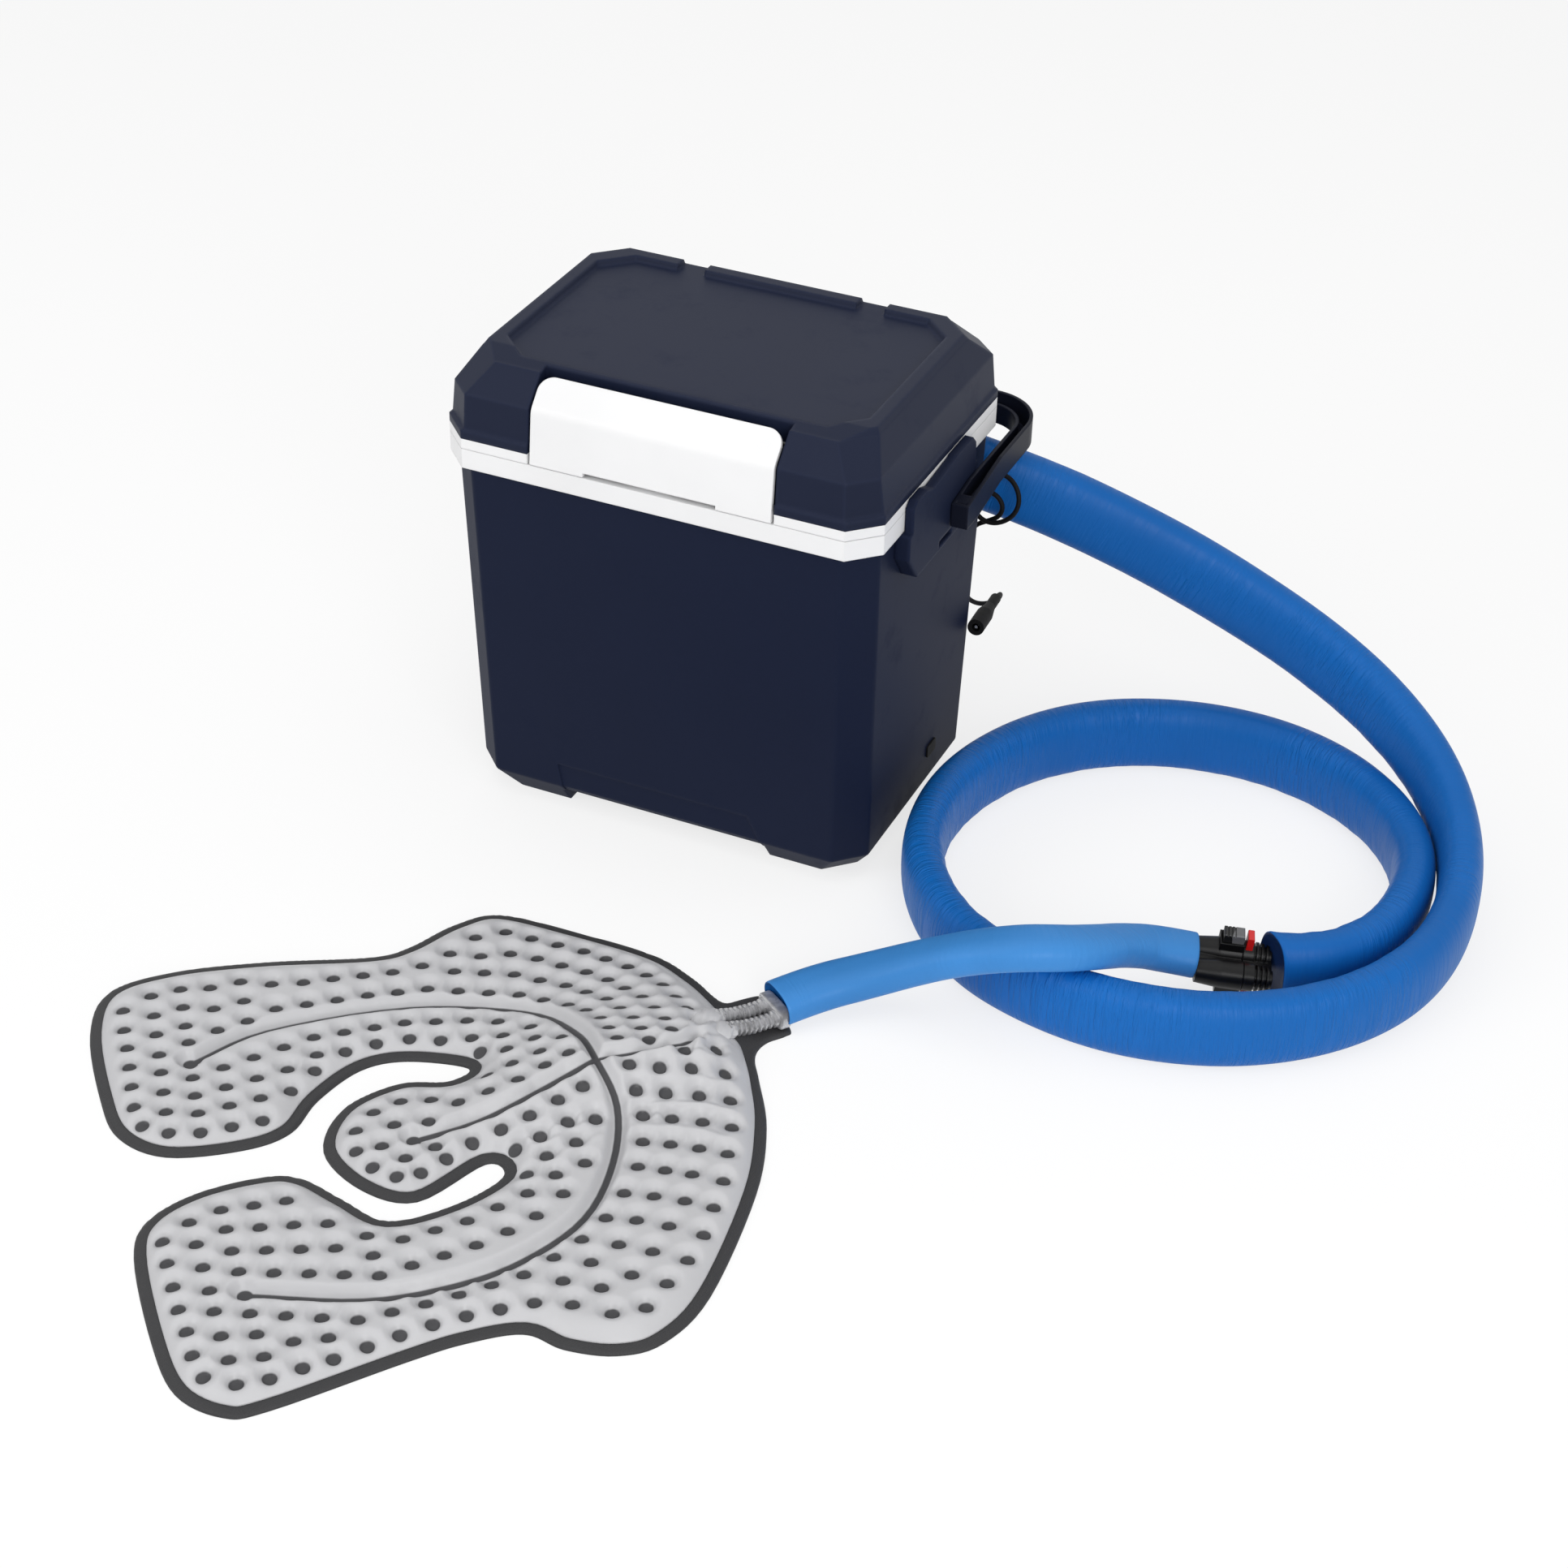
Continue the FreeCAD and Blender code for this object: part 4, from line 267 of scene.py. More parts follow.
def foam_sleeve(name, line, width, height, material, seed, pleat_depth, cut_lean=0.0):
    """A foam sleeve: a superellipse carried along a line, with soft creases across it.

    Each ring grows by a few long sine waves, and on the inside of a bend by short pleats whose depth
    grows with the bend. Both ends turn in over a rounded lip to a dished face, and the far end's rings
    move forward by cut_lean times their sideways place, for a slanted cut.
    """
    points, at = evenly(line, SLEEVE_STEP)
    along, side, up = upright_frames(points)
    x, y = oval_ring(width / 2, height / 2, SLEEVE_ROUND)
    length, girth = np.meshgrid(at, np.arange(SLEEVE_ROUND) / SLEEVE_ROUND, indexing="ij")
    bend = np.gradient(along, axis=0) / np.gradient(at)[:, None]
    inward = np.einsum("ij,ij->i", bend, side)[:, None] * (x / (width / 2))
    ripple = bump_noise(length, girth * PLEAT_GIRTH, PLEAT_WAVES, seed)
    swell = bump_noise(length, girth * SWELL_GIRTH, SWELL_WAVES, seed + 1)
    grow = 1.0 + np.clip(inward * PLEAT_BEND, 0.0, 1.0) * ripple * pleat_depth + swell * SWELL_DEPTH
    body = (points[:, None, :] + (x * grow)[..., None] * side[:, None, :]
            + (y * grow)[..., None] * up[:, None, :])
    lean = smoothstep(at[-1] - LEAN_REACH, at[-1], at)[:, None] * cut_lean * x
    body += lean[..., None] * along[-1]
    first = end_face(body[0], along[0])
    last = end_face(body[-1], -along[-1])[::-1]
    body[0] += along[0] * END_LIP
    body[-1] -= along[-1] * END_LIP
    run = np.concatenate([np.full(len(first), at[0]), at, np.full(len(last), at[-1])])
    sleeve = mesh_piece(name, *capped_tube(np.concatenate([first, body, last])), material,
                        sleeve_uv(run, height * 2 + width))
    # the end faces are marked as cut_end, and the skin paints shade on them
    inner = (len(END_RINGS) - 1) * SLEEVE_ROUND
    cut = np.ones(len(run) * SLEEVE_ROUND + 2)
    cut[inner:len(run) * SLEEVE_ROUND - inner] = 0.0
    mark_points(sleeve, "cut_end", cut)
    return sleeve


# ---------------------------------------------------------------- shared shader groups
class Wiring:
    """Adds nodes to a tree and links them, by short calls."""

    def __init__(self, tree):
        self.tree = tree

    def fill(self, made, inputs):
        """A node's inputs by name or number: another node's socket is linked, and anything else is set."""
        for key, value in inputs.items():
            if isinstance(value, bpy.types.NodeSocket):
                self.tree.links.new(value, made.inputs[key])
            else:
                made.inputs[key].default_value = value

    def node(self, kind, inputs=None, **settings):
        """One node with its settings and its filled inputs."""
        made = self.tree.nodes.new("ShaderNode" + kind)
        for key, value in settings.items():
            setattr(made, key, value)
        self.fill(made, inputs or {})
        return made

    def maths(self, operation, first, second=0.0, clamp=False):
        """A Math node's result."""
        return self.node("Math", {0: first, 1: second}, operation=operation, use_clamp=clamp).outputs[0]

    def times(self, first, second):
        """Two values multiplied."""
        return self.maths("MULTIPLY", first, second)

    def ramp(self, value, low, high, to_low=0.0, to_high=1.0):
        """value carried smoothly from low..high to to_low..to_high."""
        made = self.node("MapRange", {"Value": value, "From Min": low, "From Max": high, "To Min": to_low,
                                      "To Max": to_high}, interpolation_type="SMOOTHSTEP")
        return made.outputs["Result"]

    def mix(self, factor, first, second):
        """Two colours mixed by factor."""
        return self.node("Mix", {0: factor, 6: first, 7: second}, data_type="RGBA").outputs[2]

    def place(self):
        """Each point's place in its piece."""
        return self.node("TexCoord").outputs["Object"]

    def noise(self, vector, scale, detail=2.0, roughness=0.5):
        """A cloudy value that changes over the vector."""
        inputs = {"Vector": vector, "Scale": scale, "Detail": detail, "Roughness": roughness}
        return self.node("TexNoise", inputs).outputs[0]

    def bump(self, height, distance, **inputs):
        """The normal of a surface that is raised by height times distance."""
        return self.node("Bump", {"Height": height, "Distance": distance, **inputs}).outputs[0]


def bare_wires(owner):
    """The wires of a material or a world, with every node taken out of it."""
    owner.use_nodes = True
    owner.node_tree.nodes.clear()
    return Wiring(owner.node_tree)


def new_group(name, inputs, outputs):
    """A shader group: its inputs are numbers with a default each, and its outputs have a kind each."""
    tree = bpy.data.node_groups.new(name, "ShaderNodeTree")
    for socket, default in inputs.items():
        made = tree.interface.new_socket(name=socket, in_out="INPUT", socket_type="NodeSocketFloat")
        made.default_value = default
    for socket, kind in outputs.items():
        tree.interface.new_socket(name=socket, in_out="OUTPUT", socket_type="NodeSocket" + kind)
    return Wiring(tree), tree.nodes.new("NodeGroupInput"), tree.nodes.new("NodeGroupOutput")


def build_soft_edge():
    """Rounds a sharp edge by its normal, and gives a mask that is 1 along such edges."""
    wires, given, result = new_group("soft edge", {"Radius": 0.001}, {"Normal": "Vector", "Edge": "Float"})
    rounded = wires.node("Bevel", {"Radius": given.outputs["Radius"]}, samples=6).outputs[0]
    flat = wires.node("NewGeometry").outputs["Normal"]
    along = wires.node("VectorMath", {0: rounded, 1: flat}, operation="DOT_PRODUCT").outputs["Value"]
    wires.fill(result, {"Normal": rounded, "Edge": wires.ramp(along, 0.999, 0.93)})
    return wires.tree


def build_grain():
    """A moulded surface: fine pebbles over a slow swell, as a height, and a mottle for colour."""
    wires, given, result = new_group("moulded grain", {"Scale": 900.0, "Swell": 14.0},
                                     {"Height": "Float", "Mottle": "Float"})
    fine = wires.noise(wires.place(), given.outputs["Scale"])
    slow = wires.noise(wires.place(), given.outputs["Swell"], 3.0)
    height = wires.maths("ADD", wires.times(fine, 0.35), wires.times(slow, 0.65))
    wires.fill(result, {"Height": height, "Mottle": slow})
    return wires.tree


def build_handling():
    """Faint rubbed patches and specks, as a mask."""
    wires, given, result = new_group("handling", {"Amount": 0.3}, {"Mask": "Float"})
    patch = wires.noise(wires.place(), 22.0, 5.0, 0.7)
    speck = wires.node("TexVoronoi", {"Vector": wires.place(), "Scale": 260.0}).outputs["Distance"]
    mask = wires.maths("ADD", wires.ramp(patch, 0.52, 0.72), wires.ramp(speck, 0.10, 0.02, 0.0, 0.5), True)
    wires.fill(result, {"Mask": wires.times(mask, given.outputs["Amount"])})
    return wires.tree


SOFT_EDGE = build_soft_edge()
GRAIN = build_grain()
HANDLING = build_handling()


def new_material(name):
    """An empty material: its wires and its Principled shader, already joined to the output."""
    material = bpy.data.materials.new(name)
    wires = bare_wires(material)
    shader = wires.node("BsdfPrincipled")
    wires.node("OutputMaterial", {"Surface": shader.outputs[0]})
    return material, wires, shader


def tinted(colour, factor=1.0):
    """The colour made lighter or darker."""
    return tuple(min(1.0, channel * factor) for channel in colour) + (1.0,)


def moulded_plastic(name, colour, roughness, edge_radius, grain=900.0, depth=0.00006, wear=0.35,
                    specular=0.5):
    """Injection-moulded plastic: rounded edges a little paler, fine grain, faint handling marks."""
    material, wires, shader = new_material(name)
    edge = wires.node("Group", {"Radius": edge_radius}, node_tree=SOFT_EDGE)
    pebbles = wires.node("Group", {"Scale": grain}, node_tree=GRAIN)
    marks = wires.node("Group", node_tree=HANDLING)
    shade = wires.mix(pebbles.outputs["Mottle"], tinted(colour, 0.94), tinted(colour, 1.06))
    worn = wires.times(edge.outputs["Edge"], wear)
    wires.fill(shader, {
        "Base Color": wires.mix(worn, shade, tinted(colour, 1.8)),
        "Roughness": wires.maths("ADD", roughness, wires.times(marks.outputs["Mask"], 0.25)),
        "Normal": wires.bump(pebbles.outputs["Height"], depth, Normal=edge.outputs["Normal"]),
        "Specular IOR Level": specular,
    })
    return material


# ---------------------------------------------------------------- finishes
NAVY = (0.0098, 0.0142, 0.0345)
NAVY_DARK = (0.0070, 0.0085, 0.0170)
WHITE = (0.85, 0.85, 0.855)
BLACK = (0.0045, 0.0045, 0.0050)
RED = (0.62, 0.012, 0.012)
FILLING_CREAM = (0.85, 0.78, 0.55)
PUMP_GREY = (0.04, 0.04, 0.045)
ROTOR_WHITE = (0.75, 0.75, 0.72)
DARK_METAL = (0.010, 0.010, 0.012)
BRIGHT_STEEL = (0.55, 0.55, 0.57)
VINYL_CLEAR = (0.26, 0.26, 0.27)
VINYL_CLOUDED = (0.46, 0.46, 0.48)
THUMB_PAD_GREY = (0.11, 0.11, 0.115)
THUMB_PAD_START = 0.52
THUMB_PAD_FADE = 0.0002
FOAM_BLUE = (0.0040, 0.1250, 0.4500)
# a paler blue for the second hose, made lighter still as painted light for its brighter top
FOAM_PALE_AND_LIT_BLUE = (0.0480, 0.2350, 0.5900)
# painted shade: the darker blues of the sleeves' dished end faces, lighter for the second hose
END_SHADE_BLUE = (0.0060, 0.0200, 0.0850)
END_SHADE_PALE_BLUE = (0.0060, 0.0900, 0.3200)
FILM_GREY = (0.545, 0.545, 0.560)
INK_GREY = (0.048, 0.048, 0.052)
BACKING_GREY = (0.017, 0.017, 0.019)

navy_plastic = moulded_plastic("navy plastic", NAVY, 0.50, edge_radius=0.0034, specular=0.06)
lid_plastic = moulded_plastic("navy lid plastic", NAVY, 0.46, edge_radius=0.0034, specular=0.13)
handle_plastic = moulded_plastic("handle plastic", NAVY_DARK, 0.42, edge_radius=0.0014, specular=0.08)
white_plastic = moulded_plastic("white plastic", WHITE, 0.34, edge_radius=0.0010, depth=0.00002, wear=0.0,
                                specular=0.25)
foam_filling = moulded_plastic("foam filling", FILLING_CREAM, 0.85, edge_radius=0.0005, grain=600.0,
                               depth=0.0004, wear=0.0)
black_rubber = moulded_plastic("black rubber", BLACK, 0.62, edge_radius=0.0005, depth=0.00003, wear=0.1,
                               specular=0.15)
pump_plastic = moulded_plastic("pump plastic", PUMP_GREY, 0.45, edge_radius=0.0006)
rotor_plastic = moulded_plastic("rotor plastic", ROTOR_WHITE, 0.4, edge_radius=0.0003, wear=0.0)
coupling_plastic = moulded_plastic("coupling plastic", BLACK, 0.34, edge_radius=0.0009, depth=0.00001,
                                   wear=0.1, specular=0.20)
dark_pin_metal = moulded_plastic("blackened pin metal", DARK_METAL, 0.35, edge_radius=0.0002, wear=0.1)
red_plastic = moulded_plastic("red plastic", RED, 0.28, edge_radius=0.0003, depth=0.00001, wear=0.2)


def brushed_steel():
    """Drawn steel: long fine scratches in the roughness and the bump."""
    material, wires, shader = new_material("drawn steel")
    stretched = wires.node("Mapping", {"Vector": wires.place(), "Scale": (60.0, 2200.0, 2200.0)}).outputs[0]
    scratch = wires.noise(stretched, 1.0, 3.0)
    wires.fill(shader, {
        "Base Color": tinted(BRIGHT_STEEL),
        "Metallic": 1.0,
        "Roughness": wires.ramp(scratch, 0.3, 0.7, 0.18, 0.36),
        "Normal": wires.bump(scratch, 0.00002),
    })
    return material


def clear_vinyl():
    """Milky clear vinyl: clouded in patches, with a wavy skin."""
    material, wires, shader = new_material("clear vinyl")
    cloud = wires.noise(wires.place(), 120.0, 3.0)
    wires.fill(shader, {
        "Base Color": wires.mix(wires.ramp(cloud, 0.35, 0.65), tinted(VINYL_CLEAR), tinted(VINYL_CLOUDED)),
        "Roughness": wires.ramp(cloud, 0.3, 0.7, 0.22, 0.34),
        "Normal": wires.bump(cloud, 0.00004),
        "Transmission Weight": 0.3,
        "IOR": 1.42,
    })
    return material


def foam_skin(name, colour, end_shade_colour, creased):
    """The sleeve's skin: short creases across the hose with painted shade in their folds, a soft sheen, and
    painted shade on the darker dished ends.
    """
    material, wires, shader = new_material(name)
    uv = wires.node("TexCoord").outputs["UV"]
    across = wires.node("Mapping", {"Vector": uv, "Scale": (420.0, 38.0, 1.0)}).outputs[0]
    crease = wires.noise(across, 1.0, 3.0, 0.55)
    patch = wires.noise(wires.place(), 9.0)
    cells = wires.noise(wires.place(), 1600.0)
    where = wires.ramp(patch, 0.40, 0.60, 0.15 * creased, creased)
    height = wires.maths("ADD", wires.times(wires.ramp(crease, 0.35, 0.62), where),
                         wires.times(cells, 0.12))
    shade = wires.mix(wires.ramp(patch, 0.3, 0.7), tinted(colour, 0.90), tinted(colour, 1.08))
    # painted shade: the creases' folds are darkened in the colour, where shade would fall
    painted_crease_shade = wires.times(wires.ramp(crease, 0.44, 0.28), where)
    shade = wires.mix(wires.times(painted_crease_shade, 0.35), shade, tinted(colour, 0.62))
    # painted shade: the marked end faces take the darker end colour
    cut = wires.node("Attribute", attribute_name="cut_end").outputs["Fac"]
    wires.fill(shader, {
        "Base Color": wires.mix(cut, shade, tinted(end_shade_colour)),
        "Roughness": wires.ramp(crease, 0.3, 0.7, 0.50, 0.40),
        "Normal": wires.bump(height, 0.00055),
        "Specular IOR Level": 0.19,
        "Sheen Weight": 0.06,
        "Sheen Roughness": 0.45,
        "Sheen Tint": (0.20, 0.60, 1.0, 1.0),
    })
    return material


def pad_film():
    """Pale laminated film: dark where it is welded down, with painted shade on the dimples' walls and a fine
    crinkle over the puffed parts.
    """
    material, wires, shader = new_material("pad film")
    dimple = wires.node("Attribute", attribute_name="from_dimple").outputs["Fac"]
    weld = wires.node("Attribute", attribute_name="from_weld").outputs["Fac"]
    crinkle = wires.noise(wires.place(), 260.0, 4.0, 0.6)
    cloud = wires.noise(wires.place(), 18.0)
    inked = wires.maths("MAXIMUM", wires.ramp(dimple, 4.5, 3.7), wires.ramp(weld, 2.5, 1.6))
    shade = wires.mix(cloud, tinted(FILM_GREY, 0.97), tinted(FILM_GREY, 1.03))
    # painted shade: the film darkened on the dimples' sloping walls
    shade = wires.mix(wires.ramp(dimple, 6.2, 4.2, 0.0, 0.22), shade, tinted(FILM_GREY, 0.55))
    wires.fill(shader, {
        "Base Color": wires.mix(inked, shade, tinted(INK_GREY)),
        "Roughness": wires.ramp(crinkle, 0.3, 0.7, 0.34, 0.48),
        "Normal": wires.bump(crinkle, 0.00016),
        "Specular IOR Level": 0.35,
    })
    return material


def pad_backing():
    """Dark laminated cloth: a tight weave under a soft coating."""
    material, wires, shader = new_material("pad backing")
    turned = wires.node("Mapping", {"Vector": wires.place(), "Rotation": (0.0, 0.0, 0.7)}).outputs[0]
    split = wires.node("SeparateXYZ", {0: turned})
    warp = wires.maths("SINE", wires.times(split.outputs[0], 5200.0))
    weft = wires.maths("SINE", wires.times(split.outputs[1], 5200.0))
    weave = wires.times(warp, weft)
    cloud = wires.noise(wires.place(), 60.0, 4.0)
    shade = wires.mix(cloud, tinted(BACKING_GREY, 0.75), tinted(BACKING_GREY, 1.05))
    wires.fill(shader, {
        "Base Color": wires.mix(wires.ramp(weave, -1.0, 1.0, 0.0, 0.25), shade, tinted(BACKING_GREY, 1.5)),
        "Roughness": 0.62,
        "Normal": wires.bump(weave, 0.00006),
        "Sheen Weight": 0.08,
    })
    return material


def two_tone_button():
    """A black latch button whose thumb pad, the half towards the clip, is pale grey."""
    material = moulded_plastic("button plastic", BLACK, 0.40, edge_radius=0.0003, wear=0.4)
    wires = Wiring(material.node_tree)
    shader = material.node_tree.nodes["Principled BSDF"]
    low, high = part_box("release_button_far")
    split = wires.node("SeparateXYZ", {0: wires.place()})
    start = low[0] + (high[0] - low[0]) * THUMB_PAD_START
    pad = wires.ramp(split.outputs[0], start - THUMB_PAD_FADE, start + THUMB_PAD_FADE)
    black = shader.inputs["Base Color"].links[0].from_socket
    wires.fill(shader, {"Base Color": wires.mix(pad, black, tinted(THUMB_PAD_GREY))})
    return material


button_plastic = two_tone_button()
steel = brushed_steel()
vinyl = clear_vinyl()
foam_blue = foam_skin("blue foam skin", FOAM_BLUE, END_SHADE_BLUE, 1.0)
foam_pale_and_lit_blue = foam_skin("pale blue foam skin", FOAM_PALE_AND_LIT_BLUE, END_SHADE_PALE_BLUE, 0.2)
film = pad_film()
backing = pad_backing()

NODE_FINISHES = [
    (lid_plastic, ["lid_shell"]),
    (navy_plastic, ["outer_shell", "handle_lug_right", "handle_lug_left", "hinge_brackets",
                    "lid_hinge_arms"]),
    (handle_plastic, ["carry_handle"]),
    (white_plastic, ["inner_liner", "lid_liner", "latch_flap"]),
    (foam_filling, ["body_insulation", "lid_insulation"]),
    (black_rubber, ["drain_plug", "lid_gasket", "pump_suction_cups", "power_gland", "power_jack",
                    "coupling_seals"]),
    (dark_pin_metal, ["latch_pin"]),
    (steel, ["hinge_pins", "handle_pin_right", "handle_pin_left", "pump_shaft", "jack_pin"]),
    (pump_plastic, ["pump_strainer", "pump_volute", "pump_motor_can"]),
    (rotor_plastic, ["pump_impeller"]),
    (coupling_plastic, ["outlet_elbow", "bulkhead_nuts", "coupling_socket", "coupling_insert"]),
    (button_plastic, ["release_button_far", "release_button_near"]),
    (red_plastic, ["coupling_clips"]),
    (vinyl, ["return_tube"]),
]
for finish_material, names in NODE_FINISHES:
    for node_name in names:
        node_mesh = nodes[node_name].data
        node_mesh.materials.clear()
        node_mesh.materials.append(finish_material)

# ---------------------------------------------------------------- hoses, lead and tubes
HOSE_ONE_WIDTH, HOSE_ONE_HEIGHT = 0.027, 0.049
HOSE_TWO_WIDTH, HOSE_TWO_HEIGHT = 0.032, 0.022
LEAD_RADIUS = 0.0016
TUBE_RADIUS = 0.0050

hose_one_line = route_line(HOSE_ONE_ROUTE)
hose_one_foam = foam_sleeve("hose_one_foam", hose_one_line, HOSE_ONE_WIDTH, HOSE_ONE_HEIGHT, foam_blue,
                            seed=3, pleat_depth=0.060, cut_lean=0.55)
hose_one = put_in(hose_one_foam, "blue_foam", "hose_1_sleeve")
hose_two_line = route_line(HOSE_TWO_ROUTE)
hose_two_foam = foam_sleeve("hose_two_foam", hose_two_line, HOSE_TWO_WIDTH, HOSE_TWO_HEIGHT, foam_pale_and_lit_blue,
                            seed=8, pleat_depth=0.004)
hose_two = put_in(hose_two_foam, "blue_foam", "hose_2_sleeve")


def round_cord(name, route, radius, material):
    """A round lead or tube on its route's spline."""
    cord = route_curve(name, route, radius)
    cord.data.materials.append(material)
    return cord


power_lead = put_in(round_cord("power_lead_cable", LEAD_ROUTE, LEAD_RADIUS, black_rubber),
                    "black_rubber", "power_lead")
pump_lead = put_in(round_cord("pump_lead_cable", PUMP_LEAD_ROUTE, LEAD_RADIUS, black_rubber),
                   "black_rubber", "pump_lead")
supply_tube = put_in(round_cord("supply_water_tube", SUPPLY_ROUTE, TUBE_RADIUS, vinyl),
                     "clear_tube", "supply_tube")


# ---------------------------------------------------------------- pad, in millimetres
# the outlines of the sheet and the bladder, clockwise from the upper left lobe; both end with PAD_REST
SHEET_START = [
    (-51, -213), (0, -208), (53, -208), (84, -218), (104, -229), (112.4, -231), (118, -225), (127, -216),
    (134, -215), (157, -236), (157, -243), (150, -253), (148, -263), (151, -273), (160, -287),
]
BLADDER_START = [
    (-51, -213), (0, -208), (53, -208), (84, -218), (106, -230), (124, -243), (140, -258), (152, -273),
    (164, -291),
]
PAD_REST = [
    (182, -324), (200, -377), (212, -461), (205, -503), (187, -522), (160, -530), (136, -529), (112, -548),
    (91, -573), (45, -634), (26, -648), (-4, -645), (-36, -619), (-80, -570), (-90, -542), (-78, -511),
    (-51, -483), (-31, -476), (-3, -481), (28, -485), (54, -458), (67, -426), (53, -420), (34, -464),
    (1, -469), (-34, -451), (-43, -415), (-26, -382), (-1, -367), (3, -351), (-32, -361), (-52, -380),
    (-60, -414), (-59, -445), (-75, -469), (-111, -493), (-144, -491), (-172, -468), (-211, -422),
    (-224, -384), (-200, -350), (-155, -317), (-102, -286), (-86, -268), (-72, -235),
]
ARC_WELD = [
    (-141, -422), (-117, -377), (-54, -322), (10, -295), (45, -298), (68, -315), (98, -347), (118, -391),
    (125, -439), (111, -483), (87, -516), (49, -547), (-9, -571),
]
MIDDLE_WELD = [(68, -315), (50, -359), (33, -394), (9, -424)]
INLET_WELD = [(68, -315), (90, -296), (113, -274)]
WRINKLES = [
    ([(112, -347), (128, -338), (146, -331), (162, -329)], 1.5),
    ([(114, -355), (126, -349), (134, -344)], 1.2),
    ([(118, -366), (132, -358), (150, -352), (168, -351)], 0.9),
    ([(88, -366), (74, -392), (62, -409), (50, -422)], 1.2),
    ([(93, -372), (86, -388), (78, -402)], 0.9),
    ([(104, -380), (95, -396), (88, -410)], 0.7),
    ([(120, -262), (112, -272), (118, -281), (113, -290)], 1.8),
    ([(128, -258), (140, -272), (152, -290)], 0.9),
    ([(104, -292), (120, -288), (134, -291)], 1.0),
    ([(122, -306), (136, -310), (150, -306)], 0.8),
    ([(98, -258), (106, -266), (104, -276)], 1.1),
]
# runs of evenly spaced dimples: x, y and the steps to the next corner of the run
DIMPLE_ROWS = [
    [(-34, -596, 5), (55, -562, 2), (81, -536, 2), (105, -508, 1), (117, -494, 1), (125, -475, 1),
     (132, -456, 1), (136, -435, 1), (136, -413, 1), (133, -390, 1), (126, -370, 1), (116, -350, 2),
     (88, -312, 1), (88, -287, 2), (71, -273, 2), (49, -264, 2), (21, -263, 2), (-12, -267, 2),
     (-46, -280, 1), (-66, -284, 1), (-79, -297, 3), (-122, -329, 1), (-138, -339, 1), (-156, -345, 1),
     (-169, -358, 1), (-184, -367, 1), (-196, -380, 1), (-203, -399, 0)],
    [(4, -634, 1), (23, -629, 1), (36, -618, 1), (47, -604, 1), (60, -593, 1), (70, -577, 4),
     (118, -522, 1), (132, -510, 1), (151, -503, 1), (159, -485, 1), (169, -469, 1), (171, -448, 2),
     (169, -404, 2), (157, -361, 1), (149, -340, 1), (137, -320, 1), (122, -300, 1), (111, -287, 1),
     (96, -273, 1), (78, -259, 1), (73, -237, 0)],
    [(-37, -232, 3), (15, -228, 2), (46, -230, 1), (60, -233, 1), (85, -244, 1), (106, -260, 1),
     (128, -279, 1), (142, -296, 1), (155, -316, 1), (166, -337, 2), (181, -380, 2), (190, -424, 1),
     (191, -446, 2), (187, -488, 0)],
    [(-170, -441, 3), (-143, -390, 1), (-132, -375, 1), (-123, -358, 3), (-81, -323, 2), (-52, -302, 3),
     (0, -283, 2), (31, -279, 1), (43, -279, 1), (54, -282, 2), (71, -294, 0)],
    [(-59, -569, 2), (-21, -558, 4), (48, -528, 3), (83, -485, 1), (93, -468, 1), (101, -450, 1),
     (106, -428, 1), (105, -400, 2), (80, -373, 1), (66, -358, 0)],
    [(52, -318, 1), (42, -307, 1), (21, -307, 1), (1, -311, 1), (-16, -318, 2), (-48, -336, 3),
     (-89, -371, 4), (-132, -433, 2), (-148, -469, 0)],
    [(45, -334, 2), (28, -315, 1), (10, -321, 3), (-37, -350, 1), (-51, -362, 1), (-63, -375, 1),
     (-79, -384, 1), (-87, -403, 3), (-122, -446, 2), (-136, -484, 0)],
    [(-71, -556, 1), (-53, -550, 1), (-45, -533, 2), (-14, -514, 1), (2, -505, 1), (26, -504, 1),
     (45, -498, 2), (69, -470, 2), (88, -436, 1), (95, -416, 0)],
    [(138, -489, 2), (152, -451, 2), (152, -408, 1), (148, -386, 1), (141, -365, 1), (132, -345, 2),
     (105, -307, 0)],
    [(-57, -266, 1), (-39, -260, 1), (-24, -250, 1), (-7, -247, 2), (26, -246, 1), (41, -247, 2),
     (67, -253, 0)],
    [(-16, -448, 1), (-24, -432, 1), (-23, -414, 1), (-14, -399, 1), (1, -390, 1), (16, -385, 2),
     (37, -352, 0)],
    [(-1, -458, 1), (16, -458, 1), (30, -448, 1), (37, -431, 1), (40, -412, 2), (58, -377, 0)],
    [(-118, -479, 1), (-112, -458, 3), (-75, -418, 1), (-69, -397, 0)],
    [(48, -580, 1), (33, -590, 1), (25, -606, 1), (10, -616, 1), (-9, -621, 1), (-21, -608, 0)],
    [(-192, -414, 1), (-184, -395, 1), (-173, -381, 1), (-156, -374, 1), (-144, -360, 0)],
    [(-33, -546, 3), (16, -520, 1), (37, -516, 0)],
    [(-66, -537, 1), (-56, -521, 2), (-28, -499, 0)],
    [(-181, -427, 1), (-173, -409, 1), (-162, -395, 0)],
    [(76, -423, 1), (83, -404, 1), (72, -391, 0)],
    [(13, -440, 1), (-4, -437, 1), (-7, -418, 0)],
    [(-102, -471, 2), (-76, -447, 0)],
    [(88, -266, 1), (96, -251, 0)],
    [(4, -343, 1), (18, -331, 0)],
    [(15, -356, 1), (27, -341, 0)],
    [(23, -424, 1), (9, -407, 0)],
    [(-159, -455, 1), (-151, -437, 0)],
    [(-46, -583, 1), (-27, -577, 0)],
    [(-3, -603, 1), (13, -594, 0)],
    [(-51, -245, 0)],
    [(63, -410, 0)],
    [(173, -500, 0)],
    [(73, -341, 0)],
    [(93, -364, 0)],
]
CURVE_STEPS = 6
